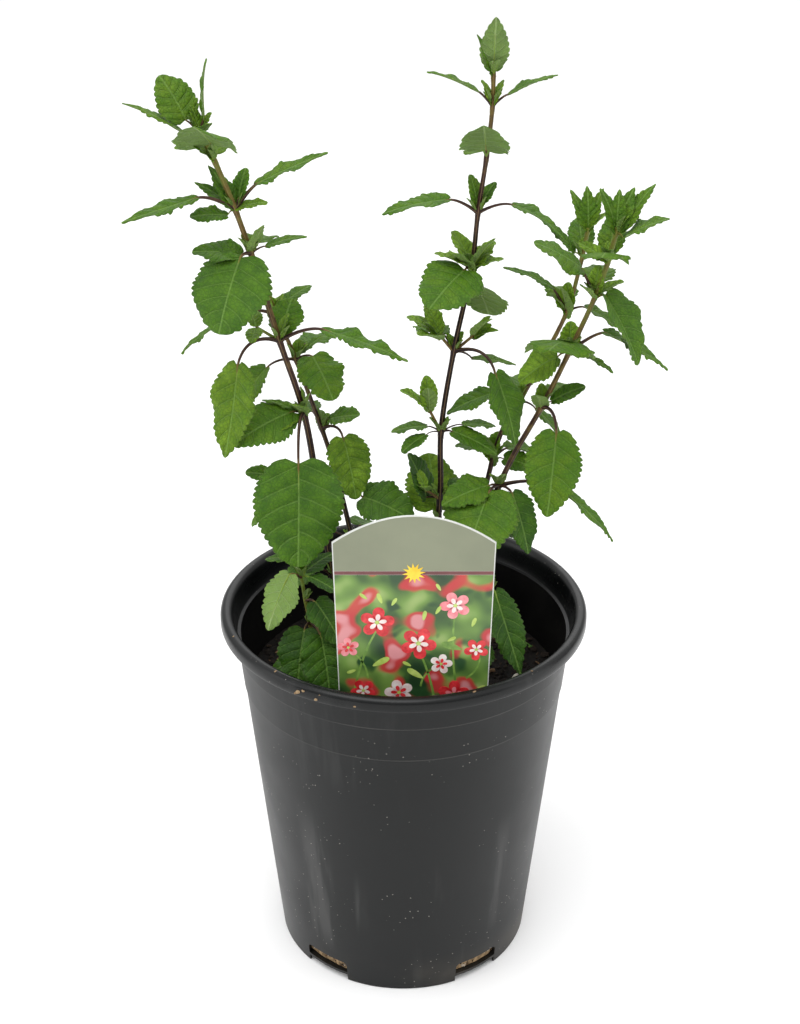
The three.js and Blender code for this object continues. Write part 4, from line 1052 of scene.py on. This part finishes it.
def tuft_leaves(tuft, draw):
    """The young leaflets of an axil: a pair to the sides and the rest nearly upright."""
    leaves = []
    for i in range(tuft["count"]):
        spread = 0 if tuft["count"] == 1 else (i / (tuft["count"] - 1) - 0.5) * 2
        blade = tuft["size"] * (0.85 + 0.3 * draw())
        aim = tuft["aim"] + spread * tuft.get("fan", 80) + 20 * (draw() - 0.5)
        dip = tuft.get("dip", 55) + (14 if i % 2 == 0 else -16) + 14 * (draw() - 0.5)
        leaves.append(leaf(aim, dip, blade, blade * 1.35 * (0.4 + 0.12 * draw()),
                           arch=20, fold=18, sink=1.4 * i, tone=0.97))
    return leaves


def grow_hairs(shoot, line, radii, greens, count):
    """Short stiff hairs on the stem, each a three sided spine that points a little down."""
    for _ in range(count):
        i = shoot.dice.randrange(1, len(line) - 1)
        along = (line[i + 1] - line[i - 1]).normalized()
        out = Vector([shoot.dice.uniform(-1, 1) for _ in range(3)])
        out = (out - along * out.dot(along)).normalized()
        side, start = along.cross(out), len(shoot.points)
        foot = line[i].lerp(line[i + 1], shoot.dice.random()) + out * (radii[i] * 0.93)
        tip = foot + (out - along * 0.35) * shoot.dice.uniform(0.35, 0.8)
        for corner in (foot + side * 0.05, foot - side * 0.05, foot + along * 0.09, tip):
            shoot.points.append(corner)
            shoot.place.append((min(1, greens[i] + 0.6), 0.5, 0.1))
            shoot.kind.append((0.5, 0.0, 0.0))
        a, b, c, d = range(start, start + 4)
        shoot.faces += [(a, c, b), (a, b, d), (b, c, d), (c, a, d)]
        shoot.paint += [STEM_SKIN] * 4


STEM_TAPER = 0.45
COLLAR_REACH, COLLAR_SWELL = 2.2, 0.22
HAIRS_PER_MM = 5
TWIG_RADII = (0.8, 0.72, 0.68, 0.64, 0.62, 0.6, 0.55)


def grow_shoot(name, thick, seed, greens, path, *nodes, tone=None):
    """One stem with all its leaves, as one piece in two materials. thick is its thickness at
    the foot and greens the run over which its skin turns green. A node is a height and what
    grows there. tone is given for a shoot whose leaves are all alike."""
    shoot = Shoot(name, path, greens, tone)
    dice, draw = shoot.dice, tuft_dice(seed)
    radii, skin_greens = [], []
    for point in shoot.line:
        collar = sum(math.exp(-((point.z - at) / COLLAR_REACH) ** 2) for at, *_ in nodes)
        taper = 1 - STEM_TAPER * shoot.run_at(point.z)
        radii.append(thick * taper / 2 * (1 + COLLAR_SWELL * min(collar, 1)))
        skin_greens.append(shoot.green_at(point.z))
    grow_tube(shoot, shoot.line, radii, 16, 0.07, skin_greens)
    hair_count = round(HAIRS_PER_MM * (shoot.top - shoot.foot))
    grow_hairs(shoot, shoot.line, radii, skin_greens, hair_count)
    for at, *here in nodes:
        leaves = [one for one in here if "blade" in one]
        tufts = [one for one in here if "count" in one]
        root = shoot.at_height(at)
        green = shoot.green_at(at)
        young_green = min(1, green + 0.6)
        for grown in leaves:
            grow_leaf(shoot, grown, root, green)
        for bunch in tufts:
            far = root
            if bunch.get("reach"):
                lift = math.radians(bunch.get("lift", 50))
                far = root + (heading_of(bunch["aim"]) * math.cos(lift)
                              + Vector((0, 0, math.sin(lift)))) * bunch["reach"]
                twig = [root.lerp(far, t / 6) for t in range(7)]
                grow_tube(shoot, twig, TWIG_RADII, 8, 0.05, [min(1, green + 0.5)] * 7)
            for leaflet in tuft_leaves(bunch, draw):
                sink = leaflet["sink"] * (0.5 if bunch.get("reach") else 1)
                grow_leaf(shoot, leaflet, far - Vector((0, 0, sink)), young_green)
        for grown in leaves:
            if grown["stalk"] < AXIL_STALK:
                continue
            for lean in (-24, 24):
                bud = leaf(grown["aim"] + lean + dice.uniform(-12, 12), dice.uniform(52, 74),
                           dice.uniform(4.0, 7.5), 0, arch=24, fold=20, tone=0.97)
                bud["wide"] = bud["blade"] * dice.uniform(0.48, 0.66)
                out = heading_of(grown["aim"]) * (thick * 0.4)
                bud_foot = root + out + Vector((0, 0, dice.uniform(0.6, 1.6)))
                grow_leaf(shoot, bud, bud_foot, young_green)
    made = make_mesh(name + "_grown", shoot.points, shoot.faces,
                     [leaf_skin, stem_skin], shoot.paint, smooth_to=50)
    keep_mark(made, "leaf_place", shoot.place)
    keep_mark(made, "leaf_kind", shoot.kind)
    return made


# The vein pattern of a blade: side veins that leave the midrib in pairs and arc
# forward to the teeth, with a fine net between them
veins, vein_in, vein_out = start_group(
    "side_veins", {"Along": 0.5, "Across": 0.5, "Reach": 5.0, "Pairs": VEIN_PAIRS},
    ("Rib", "Veins", "Net", "Valley", "Margin"))
vein_share = veins.calc("ABSOLUTE", vein_in["Across"])
lean = veins.mul(veins.calc("POWER", vein_share, 1.3), 0.2)
vein_phase = veins.mul(vein_in["Pairs"], veins.calc("SUBTRACT", vein_in["Along"], lean))
vein_phase = veins.calc("ADD", vein_phase, veins.mul(veins.calc("SIGN", vein_in["Across"]), 0.12))
vein_off = veins.calc("FRACT", veins.calc("ADD", vein_phase, 0.5))
vein_off = veins.calc("ABSOLUTE", veins.calc("SUBTRACT", vein_off, 0.5))
vein_line = veins.ease(vein_off, 0.025, 0.085, 1.0, 0.0)
vein_fade = veins.ease(vein_share, 0.8, 0.98, 1.0, 0.15)
veins.feed(vein_out["Veins"], veins.mul(vein_line, vein_fade))
veins.feed(vein_out["Valley"], veins.mul(veins.ease(vein_off, 0.06, 0.3, 1.0, 0.0), vein_fade))
veins.feed(vein_out["Margin"], veins.ease(vein_share, 0.9, 1.0))
veins.feed(vein_out["Rib"], veins.ease(vein_in["Reach"], 0.22, 0.62, 1.0, 0.0))
net = veins.add("TexVoronoi", {"feature": "DISTANCE_TO_EDGE"}, Scale=620.0, Vector=veins.here())
veins.feed(vein_out["Net"], veins.ease(net.outputs["Distance"], 0.02, 0.16, 1.0, 0.0))

leaf_skin, leaf_look = start_material("sage_leaf", Specular_IOR_Level=0.22, Subsurface_Weight=0.12,
                                      Subsurface_Radius=(0.5, 1.0, 0.15), Subsurface_Scale=0.0012)
leaf_marks = leaf_look.mark("leaf_place")
leaf_kinds = leaf_look.mark("leaf_kind")
leaf_veins = leaf_look.place(veins, Along=leaf_marks["X"], Across=leaf_marks["Y"],
                             Reach=leaf_marks["Z"])
leaf_dust = dust(leaf_look, 160.0, 800.0, 0.05)
leaf_tone = leaf_look.calc("ADD", leaf_kinds["X"],
                           leaf_look.ease(leaf_dust["Cloud"], 0.3, 0.7, -0.13, 0.13), clamp=True)
upper = leaf_look.shades(leaf_tone, (0.0, (0.014, 0.052, 0.004)), (0.3, (0.038, 0.106, 0.004)),
                         (0.55, (0.069, 0.162, 0.006)), (0.8, (0.104, 0.194, 0.007)),
                         (1.0, (0.185, 0.32, 0.02)))
upper_veins = leaf_look.calc("MAXIMUM", leaf_veins["Rib"], leaf_look.mul(leaf_veins["Veins"], 0.5))
# Painted shade: the upper side is darkened along the fine net and in a soft band beside each side
# vein, where the puckered blade sinks.
upper = leaf_look.tint(leaf_veins["Net"], upper, (0.014, 0.05, 0.004), 0.26)
upper = leaf_look.tint(leaf_veins["Valley"], upper, (0.014, 0.05, 0.004), 0.13)
upper = leaf_look.tint(upper_veins, upper, (0.19, 0.33, 0.07), 0.42)
upper = leaf_look.tint(leaf_veins["Margin"], upper, (0.03, 0.05, 0.008), 0.5)
under = leaf_look.shades(leaf_tone, (0.0, (0.075, 0.125, 0.036)), (0.5, (0.12, 0.19, 0.052)),
                         (1.0, (0.17, 0.27, 0.06)))
under = leaf_look.tint(leaf_veins["Net"], under, (0.17, 0.27, 0.09), 0.25)
under_veins = leaf_look.calc("MAXIMUM", leaf_veins["Rib"], leaf_look.mul(leaf_veins["Veins"], 0.6))
under = leaf_look.tint(under_veins, under, (0.24, 0.34, 0.12))
is_upper = leaf_look.ease(leaf_kinds["Y"], 0.35, 0.65)
leaf_colour = leaf_look.tint(is_upper, under, upper)
leaf_look.surface("Base Color", leaf_colour)
leaf_rough = leaf_look.calc("ADD", leaf_look.ease(is_upper, 0, 1, 0.72, 0.52),
                            leaf_look.mul(leaf_dust["Cloud"], 0.08))
leaf_look.surface("Roughness", leaf_rough)
upright = leaf_look.ease(is_upper, 0.0, 1.0, 1.0, -1.0)
vein_height = leaf_look.calc("MAXIMUM", leaf_veins["Veins"], leaf_veins["Rib"])
vein_height = leaf_look.calc("ADD", leaf_look.mul(leaf_veins["Valley"], 0.3), vein_height)
vein_height = leaf_look.calc("ADD", leaf_look.mul(leaf_veins["Net"], 0.45), vein_height)
leaf_look.relief(leaf_look.mul(vein_height, upright), 0.00032, 0.9)

stem_skin, stem_look = start_material("sage_stem", Roughness=0.5, Specular_IOR_Level=0.22)
stem_marks = stem_look.mark("leaf_place")
stem_dust = dust(stem_look, 260.0, 900.0, 0.1)
stem_turned = stem_look.calc("ADD", stem_marks["X"],
                             stem_look.ease(stem_dust["Cloud"], 0.3, 0.7, -0.12, 0.12), clamp=True)
stem_colour = stem_look.shades(stem_turned, (0.0, (0.012, 0.005, 0.006)),
                               (0.3, (0.04, 0.016, 0.013)), (0.55, (0.135, 0.09, 0.024)),
                               (0.8, (0.14, 0.165, 0.022)), (1.0, (0.15, 0.26, 0.03)))
ridge = stem_look.calc("FRACT", stem_look.mul(stem_marks["Y"], 4.0))
ridge = stem_look.calc("ABSOLUTE", stem_look.calc("SUBTRACT", ridge, 0.5))
ridge_light = stem_look.ease(ridge, 0.36, 0.5)
stem_colour = stem_look.tint(ridge_light, stem_colour, (0.31, 0.2, 0.085), 0.5)
stem_look.surface("Base Color", stem_colour)
stem_look.relief(stem_dust["Cloud"], 0.0002, 0.6)

stem_left_front_grown = grow_shoot(
    "leafy_stem_left_front", 3.4, 41, (0.4, 1.25),
    [(-19, -3, 104), (-24, -4, 140), (-30, -4, 180), (-36, -4, 222), (-42, -8, 270),
     (-51, -10, 303), (-62, -10, 343), (-68, -10, 362), (-75, -10, 380), (-80, -10, 390)],
    (190, leaf(215, -30, 24, 17, 35, 12, turn=-10),
     leaf(352, -25, 16, 12, 20, 6)),
    (232, leaf(186, 8, 13, 8, 24, 20, roll=-30),
     leaf(200, -45, 12, 8, -10, 22)),
    (270, leaf(262, -74, 45, 39, -50, 22, bow=0.3, arch=8, fold=5, turn=9, tone=0.45),
     leaf(205, -20, 30, 21, 20, 5, roll=-32, fold=4, tone=0.62),
     leaf(178, 16, 17, 7, 30, 2),
     leaf(222, -18, 13, 8, -10, 2),
     tuft(250, 13, 3, dip=65)),
    (303, leaf(350, -18, 37, 14, 17, 20, roll=4, wave=0.14, arch=10),
     leaf(202, -76, 40, 21, -24, 20, bow=0.25, turn=34, arch=-6, roll=-12, tone=0.74),
     leaf(65, 52, 16, 15, 50, 3, fold=4),
     tuft(178, 11, 2, reach=11, lift=32, dip=5),
     tuft(20, 11, 1, dip=50)),
    (340, leaf(236, -54, 33, 35, 2, 6.5, arch=12, fold=3, turn=6, roll=-5, tone=0.5),
     leaf(185, 6, 20, 15, -12, 4, roll=-20),
     leaf(5, 12, 17, 8, 24, 7, roll=8),
     leaf(320, 60, 15, 7),
     leaf(75, -10, 20, 15, 30, 6)),
    (358, leaf(15, 20, 31, 12, 46, 13.5, arch=5, roll=5),
     leaf(203, -13, 31, 13, 21, 17, arch=2, roll=-5),
     leaf(350, 14, 14, 6, roll=20),
     leaf(192, 0, 15, 9, -35, 4, roll=-25),
     leaf(172, 32, 19, 8, roll=-20),
     leaf(155, 56, 20, 9, roll=-20),
     leaf(50, 66, 12, 8, 60, 5)),
    (377, leaf(258, 30, 21, 27, 70, 8, fold=-12, wave=0.14),
     leaf(103, 8, 18, 15, 30, 4),
     leaf(200, 40, 13, 7, roll=-20)),
    (388, leaf(188, 27, 25, 10, 8, 7),
     leaf(10, 84, 23, 9, 72, 6),
     leaf(176, 53, 20, 17, 44, 7, fold=5, turn=-26, roll=-34),
     tuft(230, 10, 2, dip=55)))
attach(stem_left_front_grown, "root")
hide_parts("leafy_stem_left_front")


# The left back stem, a slimmer one behind the first: the same young square
# stem with opposite leaves, its lower part woody and purple, leaning left and
# ending in a small cluster of young leaves.
stem_left_back_grown = grow_shoot(
    "leafy_stem_left_back", 2.8, 58, (0.55, 1.25),
    [(-9, 9, 104), (-12, 9, 140), (-19, 8, 180), (-27, 8, 222), (-32, 8, 244),
     (-40, 8, 270), (-48, 8, 294), (-53, 8, 307), (-57, 8, 318)],
    (200, leaf(70, -25, 26, 19, 30, 10),
     leaf(160, -35, 24, 17, 20, 12)),
    (226, leaf(325, -20, 25, 24, 2, 12, turn=18, roll=26, tone=0.3),
     leaf(172, -20, 20, 14, 30, 8)),
    (256, leaf(330, -68, 28, 22, -10, 11, bow=0.3, turn=-30, tone=0.78),
     leaf(340, 14, 15, 11, 55, 6, roll=20),
     leaf(120, -15, 24, 16, 30, 10),
     tuft(330, 10, 2, dip=70)),
    (288, leaf(342, -46, 22, 23, 18, 8, fold=0, turn=-34, tone=0.55),
     leaf(190, -50, 25, 18, -14, 13, turn=20),
     leaf(25, 30, 12, 6, 40, 4),
     leaf(60, -10, 24, 15, 30, 9)),
    (308, leaf(178, -36, 29, 13, -2, 18, turn=4),
     leaf(40, 20, 16, 9, 45, 5),
     tuft(90, 11, 3, dip=60)))
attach(stem_left_back_grown, "root")
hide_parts("leafy_stem_left_back")


# The centre stem, the tallest of the plant: nearly black purple for most of its
# height, with thin tan edges, green only under its top pair of leaves. It
# carries short side shoots that are just starting.
stem_centre_grown = grow_shoot(
    "leafy_stem_centre", 2.9, 75, (0.72, 1.2),
    [(9, 3, 104), (11, 2, 140), (13, 0, 185), (16, 0, 230), (16, 2, 257),
     (21, 4, 293), (28, 5, 330), (30, 6, 352), (33, 8, 374), (35, 10, 394), (35, 10, 409)],
    (216, leaf(100, 54, 26, 26, 25, 6, fold=-6, tone=0.78),
     leaf(218, -26, 24, 17, 5, 8)),
    (226, leaf(182, 68, 23, 16, 8, 6, roll=-30, tone=0.2),
     leaf(20, -20, 20, 17, 35, 6, roll=20, tone=0.25),
     tuft(205, 11, 2, reach=9, lift=40, dip=48, fan=50)),
    (257, leaf(190, -6, 16, 9, 27, 7),
     leaf(215, -22, 14, 9, 5, 8),
     leaf(10, -8, 15, 9, 16, 10),
     leaf(345, -24, 22, 12, 10, 5, roll=20),
     tuft(184, 14, 3, reach=12, lift=64, dip=58)),
    (293, leaf(340, -68, 32, 20, -22, 20, bow=0.25, turn=-25),
     leaf(10, -12, 20, 10, -25, 9),
     leaf(120, -10, 25, 14, 30, 10),
     tuft(176, 15, 4, reach=9.5, lift=50, dip=34, fan=50),
     tuft(5, 12, 4, reach=11, lift=40, dip=32, fan=60)),
    (330, leaf(228, -28, 25, 28, -5, 4.5, roll=-14, fold=4, tone=0.5),
     leaf(62, -50, 23, 25, -64, 11, fold=-4, tone=0.8),
     tuft(180, 16, 3, dip=34, fan=34),
     tuft(5, 15, 3, dip=34, fan=34)),
    (352, leaf(185, -12, 28, 14, 25, 13.5, roll=-8),
     leaf(350, -33, 25, 14, 15, 15, arch=34),
     leaf(140, 74, 13, 8, 70, 3),
     leaf(40, 46, 12, 7, 60, 3)),
    (374, leaf(262, 40, 20, 21, 56, 5, fold=-14, wave=0.1),
     leaf(88, -12, 20, 19, 20, 5, fold=-6)),
    (394, leaf(185, 21, 22, 9, 44, 8.7),
     leaf(5, 20, 21, 9, 35, 8),
     leaf(150, 62, 11, 5),
     leaf(30, 62, 11, 5)),
    (406, leaf(272, 84, 20, 12, 80, 3, fold=4, arch=-10),
     leaf(92, 78, 17, 11, 70, 2),
     leaf(178, 66, 17, 7, roll=-30)))
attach(stem_centre_grown, "root")
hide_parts("leafy_stem_centre")


# The right front stem, which leans out over the pot's right side: brown with
# tan edges, green toward a dense tip of upright young leaves. The broad leaf
# in front of the label's top grows on its lowest visible joint.
stem_right_front_grown = grow_shoot(
    "leafy_stem_right_front", 3.1, 92, (0.35, 1.15),
    [(18, -8, 104), (22, -7, 140), (29, -4, 180), (38, -1, 222), (46, -2, 245),
     (58, -6, 272), (68, -10, 298), (77, -13, 323), (81, -15, 338), (84, -15, 352)],
    (212, leaf(340, -14, 14, 10, 10, 7)),
    (233, leaf(205, -12, 24, 17, 12, 5, roll=-24, tone=0.6),
     leaf(236, -40, 37, 34, 4, 8, fold=3, arch=14, turn=9),
     leaf(345, -44, 34, 12, 3, 27, turn=6),
     leaf(305, -64, 28, 17, 0, 9, tone=0.3)),
    (272, leaf(308, -76, 37, 25, -42, 13, bow=0.3, turn=-52, arch=8, fold=5, tone=0.55),
     leaf(350, 27, 16, 8, 35, 5, roll=35),
     leaf(55, -5, 20, 13, 20, 8),
     tuft(170, 11, 2, dip=62)),
    (298, leaf(246, 10, 24, 30, 60, 7, fold=-8, wave=0.1),
     leaf(178, -38, 20, 17, -22, 5, roll=-32, tone=0.8),
     leaf(350, -29, 31, 13, 34, 17, wave=0.12),
     leaf(335, -24, 15, 5, 0, 6),
     tuft(165, 14, 2, dip=70)),
    (323, leaf(345, -58, 32, 23, 14, 4, fold=24, turn=-20),
     leaf(194, 30, 24, 20, 62, 14, roll=-16, fold=0),
     leaf(80, 0, 22, 15, 30, 8),
     tuft(130, 12, 2, dip=66),
     tuft(5, 12, 1, dip=15)),
    (338, leaf(256, 12, 20, 20, 60, 5, fold=-8),
     leaf(75, 40, 20, 12, 50, 4),
     leaf(172, 30, 14, 7, roll=-30)),
    (350, leaf(166, 68, 19, 9, roll=-30),
     leaf(84, 78, 17, 8),
     leaf(40, 64, 19, 9, roll=30),
     leaf(12, 56, 22, 9, 20, 3, roll=20),
     leaf(335, 28, 21, 14, -30, 3.5, roll=10)))
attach(stem_right_front_grown, "root")
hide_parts("leafy_stem_right_front")


# The right back stem, close behind the last and a little thinner: purple below
# and green above, with its own dense tip of young leaves.
stem_right_back_grown = grow_shoot(
    "leafy_stem_right_back", 2.8, 109, (0.4, 1.2),
    [(22, 11, 104), (25, 11, 140), (30, 11, 180), (36, 11, 224), (43, 11, 254),
     (50, 10, 268), (59, 8, 288), (68, 6, 310), (72, 5, 328), (75, 5, 346)],
    (210, leaf(60, -30, 27, 19, 30, 12),
     leaf(135, -25, 24, 16, 25, 10)),
    (240, leaf(178, 10, 14, 9, 50, 5),
     leaf(25, -20, 24, 15, 30, 8),
     leaf(345, -14, 17, 13, 10, 5, roll=24),
     tuft(120, 14, 3, dip=64)),
    (268, leaf(188, -22, 23, 13, 22, 12, roll=-12),
     leaf(352, -50, 20, 13, -25, 8),
     leaf(80, -10, 23, 15, 30, 8),
     tuft(190, 12, 1, dip=50)),
    (310, leaf(175, 22, 23, 10, 58, 12),
     leaf(350, -32, 21, 12, 17, 8),
     leaf(95, -5, 22, 15, 30, 7),
     tuft(130, 13, 3, dip=66)),
    (334, leaf(180, 44, 16, 8, 30, 4, roll=-20),
     leaf(90, 30, 18, 12, 40, 4)),
    (345, leaf(150, 60, 18, 8, roll=-20),
     leaf(95, 76, 18, 8),
     leaf(40, 64, 18, 8),
     leaf(0, 42, 12, 6)))
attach(stem_right_back_grown, "root")
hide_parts("leafy_stem_right_back")


# The low shoot on the left, a short young side stem from the crown: its leaves
# are painted darker, as painted shade from the rest above, and hang over the mix.
low_shoot_left_grown = grow_shoot(
    "low_shoot_left", 2.4, 126, (0.3, 1.0),
    [(-30, -16, 112), (-34, -22, 140), (-40, -28, 175), (-44, -31, 206)],
    (160, leaf(190, -26, 20, 15, 20, 6),
     leaf(20, -30, 22, 16, 10, 6)),
    (180, leaf(256, -60, 25, 21, 10, 8),
     leaf(292, -64, 29, 24, 8, 14)),
    (192, leaf(318, -46, 23, 19, 15, 6)),
    (204, leaf(222, -57, 26, 17, 30, 7, turn=6, roll=168, tone=0.75),
     leaf(45, 10, 17, 12, 30, 3),
     leaf(342, -24, 14, 10, 10, 4),
     leaf(160, -10, 12, 8, 58, 9, tone=0.5)), tone=0.28)
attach(low_shoot_left_grown, "root")
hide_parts("low_shoot_left")


# The low shoot in the middle, a short side stem from the crown behind the
# label, with a few leaves, painted dark as painted shade, that fill the foot of the plant.
low_shoot_front_grown = grow_shoot(
    "low_shoot_front", 2.4, 143, (0.3, 1.0),
    [(8, -22, 112), (9, -25, 140), (7, -28, 172), (5, -29, 198)],
    (168, leaf(190, -30, 24, 17, 20, 7),
     leaf(10, -30, 17, 14, 20, 5)),
    (195, leaf(265, 5, 20, 15, 20, 4),
     leaf(110, 10, 20, 14, 20, 4)), tone=0.28)
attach(low_shoot_front_grown, "root")
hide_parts("low_shoot_front")


# The low shoot on the right, a short side stem from the crown with leaves
# painted dark as painted shade, the longest of which hangs down beside the label.
low_shoot_right_grown = grow_shoot(
    "low_shoot_right", 2.4, 160, (0.3, 1.0),
    [(33, -16, 112), (36, -19, 140), (37, -22, 170), (38, -24, 196)],
    (165, leaf(30, -30, 22, 15, 20, 6),
     leaf(250, -30, 20, 14, 20, 5)),
    (194, leaf(300, -56, 38, 18, 0, 3, arch=6),
     leaf(120, -10, 20, 14, 30, 3)), tone=0.28)
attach(low_shoot_right_grown, "root")
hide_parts("low_shoot_right")


# The box round the finished object, without the floor and the hidden CAD parts.
low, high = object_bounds()
